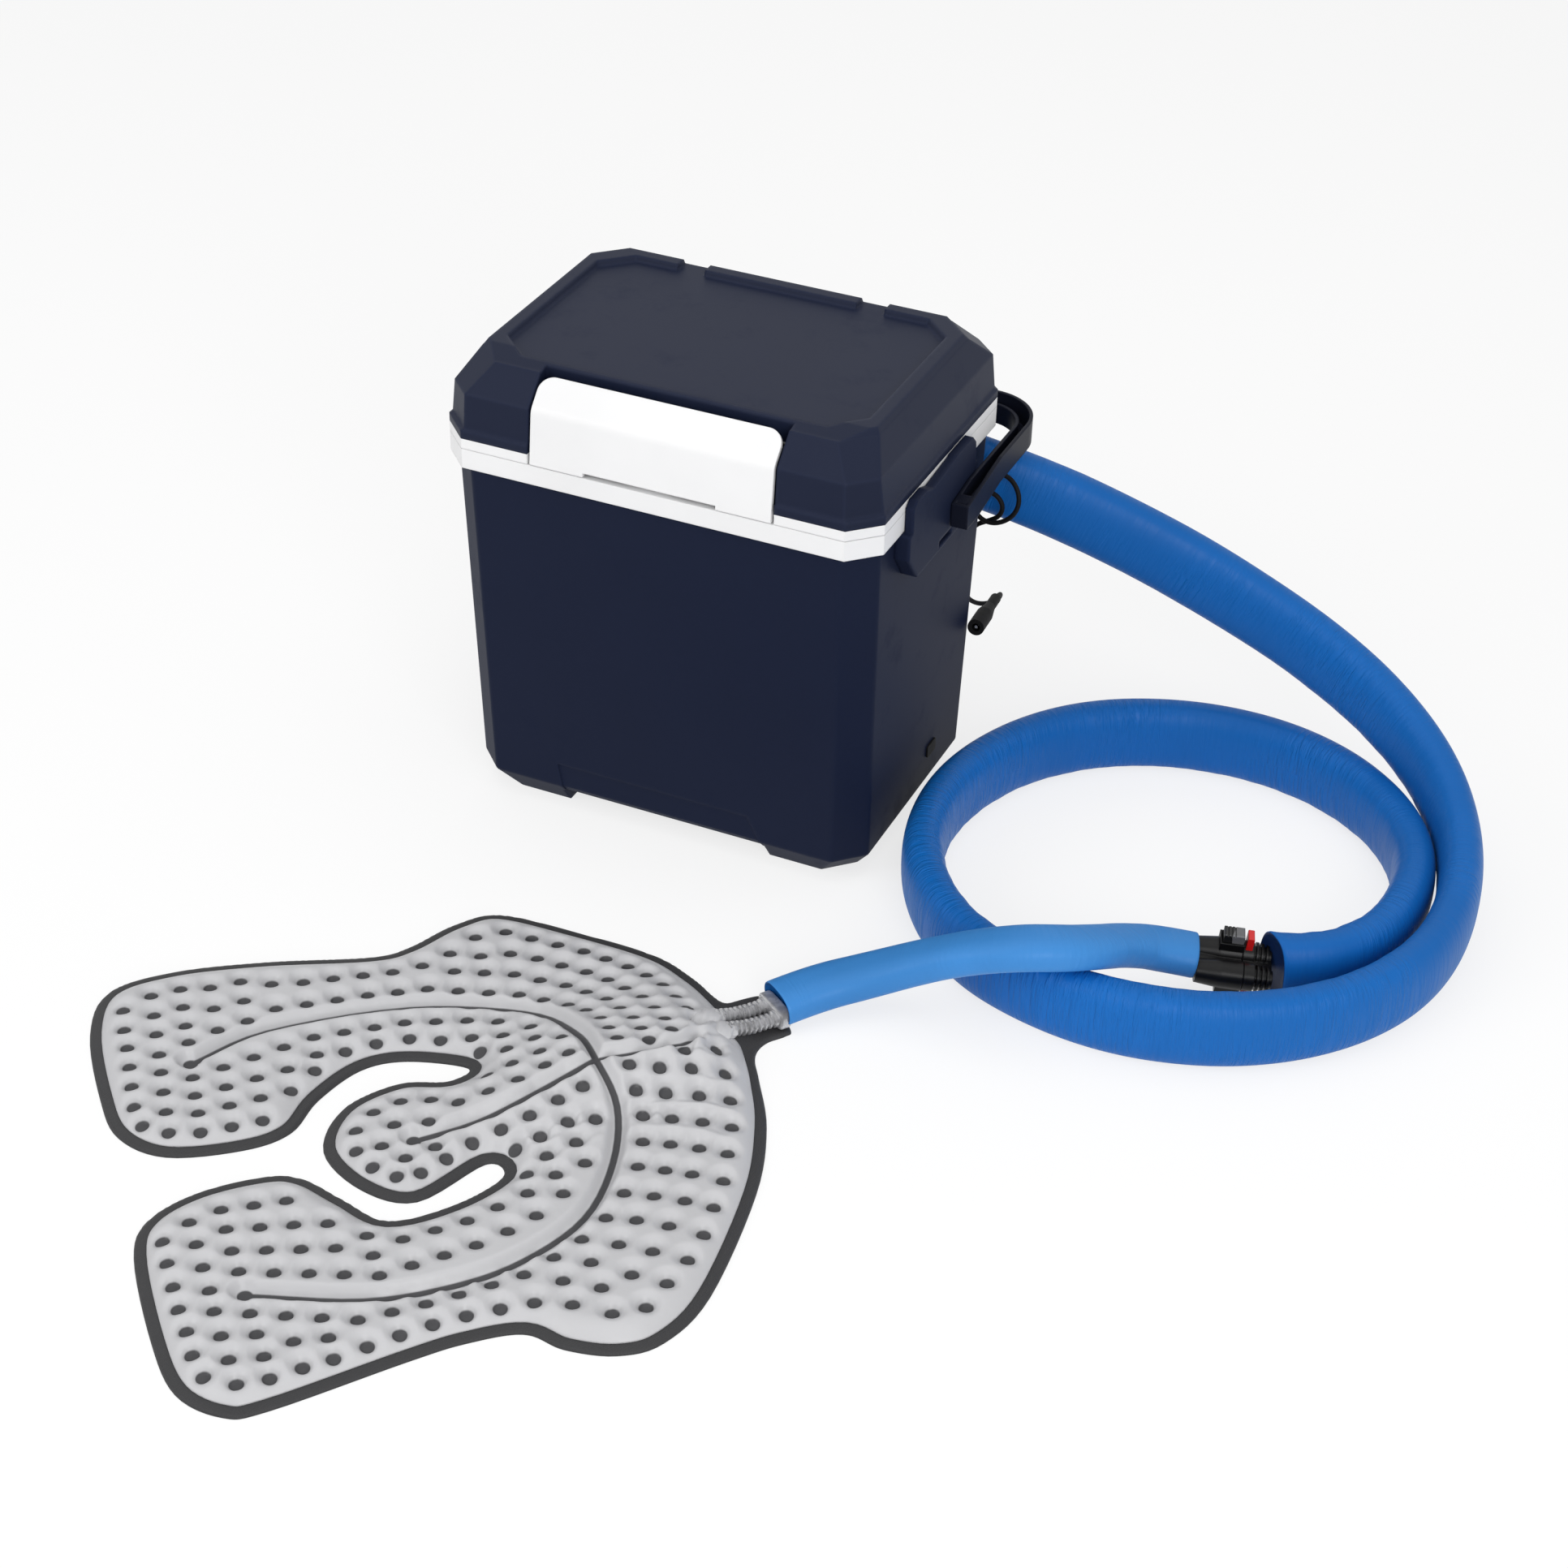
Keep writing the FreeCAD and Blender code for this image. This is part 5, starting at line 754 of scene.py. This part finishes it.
# the sheet: its grid, thickness, the share of that at its very edge, how far in the edge is round
SHEET_GRID = 1.6
SHEET_THICKNESS = 2.4
SHEET_EDGE = 0.35
SHEET_ROUNDING = 2.2
SHEET_LIFT = 0.2
# the film: its grid, height over the sheet, border inside the outline, and rim
FILM_GRID = 1.05
FILM_TOP = 7.6
FILM_SINK = 0.4
LEAST_FILM = 0.1
BORDER = 7.0
RIM_START = 0.10
RIM_REACH = 13.0
FILM_SWELL = 0.25
FILM_WAVES = (23, 31, 47, 61)
# the ridge's line, each point with the ridge's height there, and how far its top leans for each mm of height
RIDGE = [
    (9, -424, 0), (33, -394, 4), (52, -355, 13), (67, -315, 21), (95, -288, 20), (112, -272, 12),
    (128, -254, 0),
]
RIDGE_SPREAD = 31.0
RIDGE_FADE = 26.0
LEAN = (0.56, -1.07)
# welds and dimples: the share of the height that stays at their middle, where their slopes lie and what
# share each slope gives back
WELD_FLOOR = 0.12
WELD_SLOPE = (1.2, 7.5)
WELD_END_RADIUS = 2.2
INLET_WELD_THINNING = 0.9
DIMPLE_FLOOR = 0.22
DIMPLE_WALL = (3.3, 5.6)
DIMPLE_SLOPE = (4.0, 10.0)
DIMPLE_WALL_RISE = 0.40
DIMPLE_SLOPE_RISE = 0.38
DIMPLE_REACH = 16.0
DIMPLE_INSET = 15.5
MOST_PUSH = 4.0
FAR_FROM_MARKS = 30.0
# wrinkles, and the crumpled film around the inlet
WRINKLE_WIDTH = 1.6
WRINKLE_CLEARANCE = (4.0, 7.0)
CRUMPLE_PLACE = (118.0, -268.0)
CRUMPLE_REACH = 20.0
CRUMPLE_DEPTH = 1.1
CRUMPLE_WAVES = (5.5, 7.0, 9.5)


def catmull_rom(p0, p1, p2, p3, steps):
    """The curve from p1 on, at steps values of t: half of 2 p1 + (p2 - p0) t
    + (2 p0 - 5 p1 + 4 p2 - p3) t^2 + (3 p1 - p0 - 3 p2 + p3) t^3.
    """
    t = (np.arange(steps) / steps)[None, :, None]
    p0, p1, p2, p3 = (p[:, None, :] for p in (p0, p1, p2, p3))
    curve = 0.5 * (2 * p1 + (p2 - p0) * t + (2 * p0 - 5 * p1 + 4 * p2 - p3) * t ** 2
                   + (3 * p1 - p0 - 3 * p2 + p3) * t ** 3)
    return curve.reshape(-1, 2)


def closed_curve(points, steps):
    """A Catmull-Rom curve through a closed ring of points, with steps pieces between neighbours."""
    ring = np.array(points, float)
    return catmull_rom(np.roll(ring, 1, 0), ring, np.roll(ring, -1, 0), np.roll(ring, -2, 0), steps)


def open_curve(points, steps):
    """A Catmull-Rom curve through an open run of points, which goes straight out past its two ends."""
    run = np.array(points, float)
    run = np.concatenate([[2 * run[0] - run[1]], run, [2 * run[-1] - run[-2]]])
    curve = catmull_rom(*(run[k:len(run) - 3 + k] for k in range(4)), steps)
    return np.concatenate([curve, run[-2:-1]])


def segment_distance(x, y, start, end):
    """How far each point lies from a straight piece, and how far along the piece its nearest point is."""
    dx, dy = end[0] - start[0], end[1] - start[1]
    t = np.clip(((x - start[0]) * dx + (y - start[1]) * dy) / (dx * dx + dy * dy + 1e-12), 0.0, 1.0)
    return np.hypot(x - start[0] - t * dx, y - start[1] - t * dy), t


def polyline_distance(x, y, points):
    """The distance to an open run of straight pieces."""
    return np.min([segment_distance(x, y, a, b)[0] for a, b in zip(points, points[1:])], axis=0)


def depth_inside(x, y, ring):
    """The distance to a closed ring, positive inside it, by counting the crossings of a ray."""
    nearest = np.full(x.shape, 1e9)
    inside = np.zeros(x.shape, bool)
    for a, b in zip(ring, np.roll(ring, -1, 0)):
        nearest = np.minimum(nearest, segment_distance(x, y, a, b)[0])
        if a[1] != b[1]:
            crosses = (a[1] > y) != (b[1] > y)
            inside ^= crosses & (x < (b[0] - a[0]) * (y - a[1]) / (b[1] - a[1]) + a[0])
    return np.where(inside, nearest, -nearest)


def ridge_height(x, y, depth):
    """The soft ridge that the stiff inlet raises: a bell of fixed spread around a line of changing height,
    times a smooth step of the depth inside the sheet's edge.
    """
    height = np.zeros_like(x)
    for a, b in zip(RIDGE, RIDGE[1:]):
        away, t = segment_distance(x, y, a, b)
        height = np.maximum(height, (a[2] + (b[2] - a[2]) * t) * np.exp(-0.5 * (away / RIDGE_SPREAD) ** 2))
    return height * smoothstep(0.0, RIDGE_FADE, depth)


def smoothed(field):
    """The field averaged with its four neighbours, which count for half."""
    wide = np.pad(field, 1, mode="edge")
    beside = wide[:-2, 1:-1] + wide[2:, 1:-1] + wide[1:-1, :-2] + wide[1:-1, 2:]
    return (field * 4 + beside) / 8


def pad_grid(ring, edge, step):
    """A square grid over a ring, with its outer points drawn in to the line edge inside the ring.

    Gives x, y, the depth inside that line, and the cells that touch the inside.
    """
    low, high = ring.min(0) - 2 * step, ring.max(0) + 2 * step
    x, y = np.meshgrid(np.arange(low[0], high[0], step), np.arange(low[1], high[1], step), indexing="ij")
    depth = depth_inside(x, y, ring) - edge
    inside = depth > 0
    cells = inside[:-1, :-1] | inside[1:, :-1] | inside[1:, 1:] | inside[:-1, 1:]
    slope_x, slope_y = np.gradient(depth, step)
    pull = np.where(inside, 0.0, -depth) / np.maximum(np.hypot(slope_x, slope_y), 0.5)
    return x + pull * slope_x, y + pull * slope_y, np.maximum(depth, 0.0), cells


def lifted(x, y, ridge):
    """Points raised by the ridge, which leans to the front as it rises."""
    return x + LEAN[0] * ridge, y + LEAN[1] * ridge


def slab_from_grid(name, x, y, top, bottom, cells, material):
    """A closed slab: the grid's cells on top, the same below, and a wall along the cells' border."""
    rows, columns = x.shape
    number = np.arange(rows * columns).reshape(rows, columns)
    faces = np.stack([number[:-1, :-1], number[1:, :-1], number[1:, 1:], number[:-1, 1:]], -1)[cells]
    used = np.unique(faces)
    renumber = np.full(rows * columns, -1)
    renumber[used] = np.arange(len(used))
    faces = renumber[faces]
    count = len(used)
    edges = np.concatenate([faces[:, [0, 1]], faces[:, [1, 2]], faces[:, [2, 3]], faces[:, [3, 0]]])
    key = edges[:, 0].astype(np.int64) * count + edges[:, 1]
    back = edges[:, 1].astype(np.int64) * count + edges[:, 0]
    rim = edges[~np.isin(key, back)]
    walls = np.stack([rim[:, 1], rim[:, 0], rim[:, 0] + count, rim[:, 1] + count], -1)
    points = np.concatenate([np.stack([x.ravel()[used], y.ravel()[used], z.ravel()[used]], -1)
                             for z in (top, bottom)]) * MM
    faces = np.concatenate([faces, faces[:, ::-1] + count, walls])
    return mesh_piece(name, points, faces, material), used


def dimple_centres(ring):
    """Every dimple: equal steps along each run, then a push inwards where one comes too near the ring."""
    centres = []
    for run in DIMPLE_ROWS:
        for (x0, y0, steps), (x1, y1, _) in zip(run, run[1:]):
            share = np.arange(steps)[:, None] / steps
            centres.append(np.array([[x0, y0]]) * (1 - share) + np.array([[x1, y1]]) * share)
        centres.append(np.array([run[-1][:2]], float))
    x, y = np.concatenate(centres).T
    slope_x = depth_inside(x + 1.0, y, ring) - depth_inside(x - 1.0, y, ring)
    slope_y = depth_inside(x, y + 1.0, ring) - depth_inside(x, y - 1.0, ring)
    push = np.clip(DIMPLE_INSET - depth_inside(x, y, ring), 0.0, MOST_PUSH) / np.hypot(slope_x, slope_y)
    return np.stack([x + push * slope_x, y + push * slope_y], -1)


def make_pad_backing():
    """The dark sheet: flat, with a quarter circle at its edge, raised by the ridge."""
    x, y, depth, cells = pad_grid(closed_curve(SHEET_START + PAD_REST, CURVE_STEPS), 0.0, SHEET_GRID)
    ridge = ridge_height(x, y, depth)
    x, y = lifted(x, y, ridge)
    edge = np.sqrt(1.0 - (1.0 - np.clip(depth / SHEET_ROUNDING, 0.0, 1.0)) ** 2)
    top = ridge + SHEET_THICKNESS * (SHEET_EDGE + (1.0 - SHEET_EDGE) * edge)
    return slab_from_grid("pad_backing_sheet", x, y, top, ridge + SHEET_LIFT, cells, backing)[0]


def dimple_distance(x, y, ridge, ring):
    """The distance in space from each raised point to the nearest raised dimple."""
    dimple_x, dimple_y = dimple_centres(ring).T
    dimple_z = ridge_height(dimple_x, dimple_y, depth_inside(dimple_x, dimple_y, ring))
    dimple_x, dimple_y = lifted(dimple_x, dimple_y, dimple_z)
    nearest = np.full(x.shape, FAR_FROM_MARKS)
    for cx, cy, cz in zip(dimple_x, dimple_y, dimple_z):
        near = (np.abs(x - cx) < DIMPLE_REACH) & (np.abs(y - cy) < DIMPLE_REACH)
        away = np.sqrt((x[near] - cx) ** 2 + (y[near] - cy) ** 2 + (ridge[near] - cz) ** 2)
        nearest[near] = np.minimum(nearest[near], away)
    return nearest


def weld_distance(x, y):
    """The distance to the nearest weld: three lines, the inlet's thinner, and a dot at each free end."""
    nearest = np.min([polyline_distance(x, y, open_curve(ARC_WELD, 5)),
                      polyline_distance(x, y, open_curve(MIDDLE_WELD, 4)),
                      polyline_distance(x, y, open_curve(INLET_WELD, 4)) + INLET_WELD_THINNING], axis=0)
    for end_x, end_y in (ARC_WELD[0], ARC_WELD[-1], MIDDLE_WELD[-1]):
        nearest = np.minimum(nearest, np.hypot(x - end_x, y - end_y) - WELD_END_RADIUS)
    return nearest


def make_pad_film():
    """The water bladder's film: a rounded rim, pressed down along the welds and at each dimple.

    Height is the film's top times an arch of the depth inside its edge, a smooth step of the distance
    to the welds and two of the distance to the nearest dimple, plus bells along the wrinkles, a slow
    swell, and short waves in a bell around the crumpled inlet.
    """
    ring = closed_curve(BLADDER_START + PAD_REST, CURVE_STEPS)
    x, y, depth, cells = pad_grid(ring, BORDER, FILM_GRID)
    ridge = ridge_height(x, y, depth_inside(x, y, ring))
    raised_x, raised_y = lifted(x, y, ridge)
    from_dimple = dimple_distance(raised_x, raised_y, ridge, ring)
    from_weld = weld_distance(x, y)
    arch = 1.0 - (1.0 - np.clip(depth / RIM_REACH, 0.0, 1.0)) ** 2
    groove = WELD_FLOOR + (1.0 - WELD_FLOOR) * smoothstep(*WELD_SLOPE, from_weld)
    crater = (DIMPLE_FLOOR + DIMPLE_WALL_RISE * smoothstep(*DIMPLE_WALL, from_dimple)
              + DIMPLE_SLOPE_RISE * smoothstep(*DIMPLE_SLOPE, from_dimple))
    height = FILM_TOP * (RIM_START + (1.0 - RIM_START) * arch) * groove * crater
    clear = groove * smoothstep(*WRINKLE_CLEARANCE, from_dimple)
    for line, rise in WRINKLES:
        away = polyline_distance(x, y, open_curve(line, 4))
        height += rise * np.exp(-0.5 * (away / WRINKLE_WIDTH) ** 2) * clear
    height += FILM_SWELL * bump_noise(x, y, FILM_WAVES, 4) * arch * groove
    from_inlet = np.hypot(x - CRUMPLE_PLACE[0], y - CRUMPLE_PLACE[1]) / CRUMPLE_REACH
    height += CRUMPLE_DEPTH * bump_noise(x, y, CRUMPLE_WAVES, 12) * np.exp(-from_inlet ** 2) * arch
    floor = ridge + SHEET_THICKNESS
    top = floor + np.maximum(smoothed(height), LEAST_FILM)
    piece, used = slab_from_grid("pad_bladder_film", raised_x, raised_y, top, floor - FILM_SINK, cells, film)
    for name, field in (("from_dimple", from_dimple), ("from_weld", from_weld)):
        mark_points(piece, name, np.tile(field.ravel()[used], 2))
    return piece


# the inlet: the end of the hose and the way on from it, the clear plate, the ribbed tubes and the cuffs
INLET_END = (146.0, -232.0)
INLET_HEADING = (-0.571, -0.821)
INLET_SPACING = 13.3
PLATE_RUN = (-3.0, 5.5)
PLATE_Z = 9.2
PLATE_HALF_WIDTH = 13.8
PLATE_HALF_HEIGHT = 6.4
PLATE_SQUARENESS = 5.0
PLATE_ROUNDED = 0.2
INLET_ROUND = 40
# points of a tube's line and of a cuff's: how far along from the hose's end, and how high
TUBE_RUN = ((3, 8.8), (10, 8.8), (19, 9.2), (27, 10.4), (34, 12.4), (40, 14.0))
CUFF_RUN = ((34, 12.2), (40, 13.6), (47, 14.6), (54, 14.6), (60, 12.6))
TUBE_BARREL = 5.2
BARREL_LENGTH = 4.5
TUBE_SKIN = 3.4
RIB_RISE = 1.4
RIB_PITCH = 3.5
CUFF_RADIUS = 5.0
CUFF_SWELL = 2.2
CUFF_SINK = 3.4
CUFF_FOLD = 0.9
CUFF_WIDE = 1.15
CUFF_HIGH = 0.72
# a cuff swells up to the first share of its length, and sinks from the second on
CUFF_SHARES = (0.35, 0.45)
# the waves of its folds and of its loose end, how far they run around it and along it, and their seeds
FOLD_WAVES = (4.3, 6.1, 8.7)
FOLD_AROUND = 7.0
FOLD_ALONG = (26.0, 11.0)
FOLD_SEED = 23
LOOSE_WAVES = (8.0, 11.0)
LOOSE_AROUND = 5.0
LOOSE_ALONG = (9.0, -15.0)
LOOSE_SEED = 31


def inlet_point(along, across, height):
    """A point of the inlet, in metres: along from the hose's end, across it, and over the floor."""
    return np.array([INLET_END[0] + INLET_HEADING[0] * along - INLET_HEADING[1] * across,
                     INLET_END[1] + INLET_HEADING[1] * along + INLET_HEADING[0] * across, height]) * MM


def inlet_line(run, side, step):
    """A line through the run's points, on one side of the inlet, with its length so far at each point."""
    corners = np.array([inlet_point(along, side * INLET_SPACING / 2, height) for along, height in run])
    return evenly(corners, step * MM)


def closed_tube(line, across, rise):
    """Points and faces of a tube: each point's ring is given sideways and upwards, and both ends close.

    across and rise are in metres, with a row for each point and a column for each corner of its ring.
    """
    _, side, up = upright_frames(line)
    rings = line[:, None, :] + across[..., None] * side[:, None, :] + rise[..., None] * up[:, None, :]
    return capped_tube(rings)


def joined_piece(name, shells, material):
    """One object from several closed shells of points and faces."""
    starts = np.cumsum([0] + [len(points) for points, _ in shells])
    faces = np.concatenate([faces + start for (_, faces), start in zip(shells, starts)])
    return mesh_piece(name, np.concatenate([points for points, _ in shells]), faces, material)


def rounded_ends(count, share):
    """A factor for each row: 1, but a quarter circle up from 3/4 over a share of the rows at each end."""
    edge = np.minimum(np.arange(count), np.arange(count)[::-1]) / max(count * share, 1.0)
    return np.sqrt(1.0 - (1.0 - np.clip(edge, 0.0, 1.0)) ** 2) * 0.25 + 0.75


def make_inlet_fitting():
    """The clear plate at the hose's end and its two ribbed tubes.

    The plate is a squarish superellipse carried a few millimetres; a tube's radius is a barrel at its
    root, then a skin plus ribs, each a smooth step of a cosine of the length so far.
    """
    plate_x, plate_y = oval_ring(PLATE_HALF_WIDTH, PLATE_HALF_HEIGHT, INLET_ROUND, PLATE_SQUARENESS)
    plate, _ = evenly(np.stack([inlet_point(along, 0.0, PLATE_Z) for along in PLATE_RUN]), 0.5 * MM)
    scale = rounded_ends(len(plate), PLATE_ROUNDED)[:, None] * MM
    shells = [closed_tube(plate, plate_x * scale, plate_y * scale)]
    round_x, round_y = oval_ring(1.0, 1.0, INLET_ROUND, 2.0)
    for side in (-1, 1):
        line, at = inlet_line(TUBE_RUN, side, 0.3)
        rib = smoothstep(-0.2, 0.5, np.cos(2 * np.pi * at / MM / RIB_PITCH))
        radius = np.where(at < BARREL_LENGTH * MM, TUBE_BARREL, TUBE_SKIN + RIB_RISE * rib)[:, None] * MM
        shells.append(closed_tube(line, round_x * radius, round_y * radius))
    return joined_piece("inlet_clear_fitting", shells, vinyl)


def cuff_noise(ring, share, around, along, waves, seed):
    """Noise over a cuff, read on a circle that drifts along with the share of the cuff's length."""
    x, y = (circle * around + share * drift for circle, drift in zip(ring, along))
    return bump_noise(x, y, waves, seed)


def make_cuffs():
    """The two crumpled film cuffs that take the tubes into the bladder.

    Along each cuff the radius swells from the tube's and sinks into the film at the end; noise around
    and along it, of a few short wave lengths, gives the folds, and longer waves the loose end.
    """
    ring = oval_ring(1.0, 1.0, INLET_ROUND, 2.0)
    shells = []
    for side in (-1, 1):
        line, at = inlet_line(CUFF_RUN, side, 0.5)
        share = (at / at[-1])[:, None]
        folds = cuff_noise(ring, share, FOLD_AROUND, FOLD_ALONG, FOLD_WAVES, FOLD_SEED + side)
        loose = cuff_noise(ring, share, LOOSE_AROUND, LOOSE_ALONG, LOOSE_WAVES, LOOSE_SEED + side)
        radius = CUFF_RADIUS + CUFF_SWELL * smoothstep(0.0, CUFF_SHARES[0], share)
        radius -= CUFF_SINK * smoothstep(CUFF_SHARES[1], 1.0, share)
        radius = (radius + CUFF_FOLD * (folds + loose * share)) * MM
        shells.append(closed_tube(line, ring[0] * radius * CUFF_WIDE, ring[1] * radius * CUFF_HIGH))
    cuffs = joined_piece("inlet_film_cuffs", shells, film)
    for name in ("from_dimple", "from_weld"):
        mark_points(cuffs, name, np.full(len(cuffs.data.vertices), FAR_FROM_MARKS))
    return cuffs


put_in(make_inlet_fitting(), "clear_tube", "inlet_block", "inlet_tubes")
put_in(make_cuffs(), "pad_film", "pad_ports")
put_in(make_pad_backing(), "pad_backing", "pad_sheet")
pad_bladder = put_in(make_pad_film(), "pad_film", "pad_bladder")

# ---------------------------------------------------------------- floor, light and background
FLOOR_REACH = 6.0
FLOOR_GREY = (0.90, 0.90, 0.90)
FLOOR_GLOW = 1.06
FLOOR_GLOW_SHARE = 0.70
WORLD_LIGHT = 0.50
WHITE_LIGHT = (1.0, 1.0, 1.0, 1.0)


def seen_directly(wires):
    """1 for what the camera sees, straight or in a reflection or through clear plastic."""
    path = wires.node("LightPath")
    seen = wires.maths("MAXIMUM", path.outputs["Is Camera Ray"], path.outputs["Is Glossy Ray"])
    return wires.maths("MAXIMUM", seen, path.outputs["Is Transmission Ray"])


def make_floor():
    """A wide flat floor: it keeps the shadows, and glows white to the camera."""
    corners = np.array([(-1, -1, 0), (1, -1, 0), (1, 1, 0), (-1, 1, 0)]) * FLOOR_REACH
    material = bpy.data.materials.new("floor")
    wires = bare_wires(material)
    lit = wires.node("BsdfDiffuse", {"Color": tinted(FLOOR_GREY)})
    bright = wires.node("Emission", {"Color": WHITE_LIGHT, "Strength": FLOOR_GLOW})
    share = wires.times(seen_directly(wires), FLOOR_GLOW_SHARE)
    both = wires.node("MixShader", {0: share, 1: lit.outputs[0], 2: bright.outputs[0]})
    wires.node("OutputMaterial", {"Surface": both.outputs[0]})
    floor = mesh_piece("floor", corners, np.array([[0, 1, 2, 3]]), material, smooth=False)
    bpy.context.scene.collection.objects.link(floor)


def make_world():
    """White behind the object, and an even grey light on it."""
    world = bpy.data.worlds.new("studio")
    wires = bare_wires(world)
    level = wires.ramp(seen_directly(wires), 0.0, 1.0, WORLD_LIGHT, 1.0)
    backdrop = wires.node("Background", {"Color": WHITE_LIGHT, "Strength": level})
    wires.node("OutputWorld", {"Surface": backdrop.outputs[0]})
    bpy.context.scene.world = world


# each lamp's name, place, the point that it faces, side and power
LAMPS = [
    ("overhead", (0.10, -0.20, 2.30), (0.10, -0.20, 0.0), 2.4, 12.5),
    ("front left", (-1.60, -2.00, 1.70), (0.05, -0.20, 0.10), 1.5, 18.5),
    ("front right", (1.70, -2.10, 1.30), (0.15, -0.15, 0.10), 1.3, 31.0),
]


def make_lamps():
    """Large square lamps that face a point."""
    for name, place, target, size, power in LAMPS:
        data = bpy.data.lights.new(name, "AREA")
        data.size = size
        data.energy = power
        back = np.array(place) - np.array(target)
        back /= np.linalg.norm(back)
        level = np.cross([0.0, 0.0, 1.0], back) + np.array([1e-6, 0.0, 0.0])
        level /= np.linalg.norm(level)
        put_facing(bpy.data.objects.new(name, data), level, np.cross(back, level), back, place)


make_floor()
make_world()
make_lamps()
bpy.context.scene.view_settings.view_transform = "Standard"
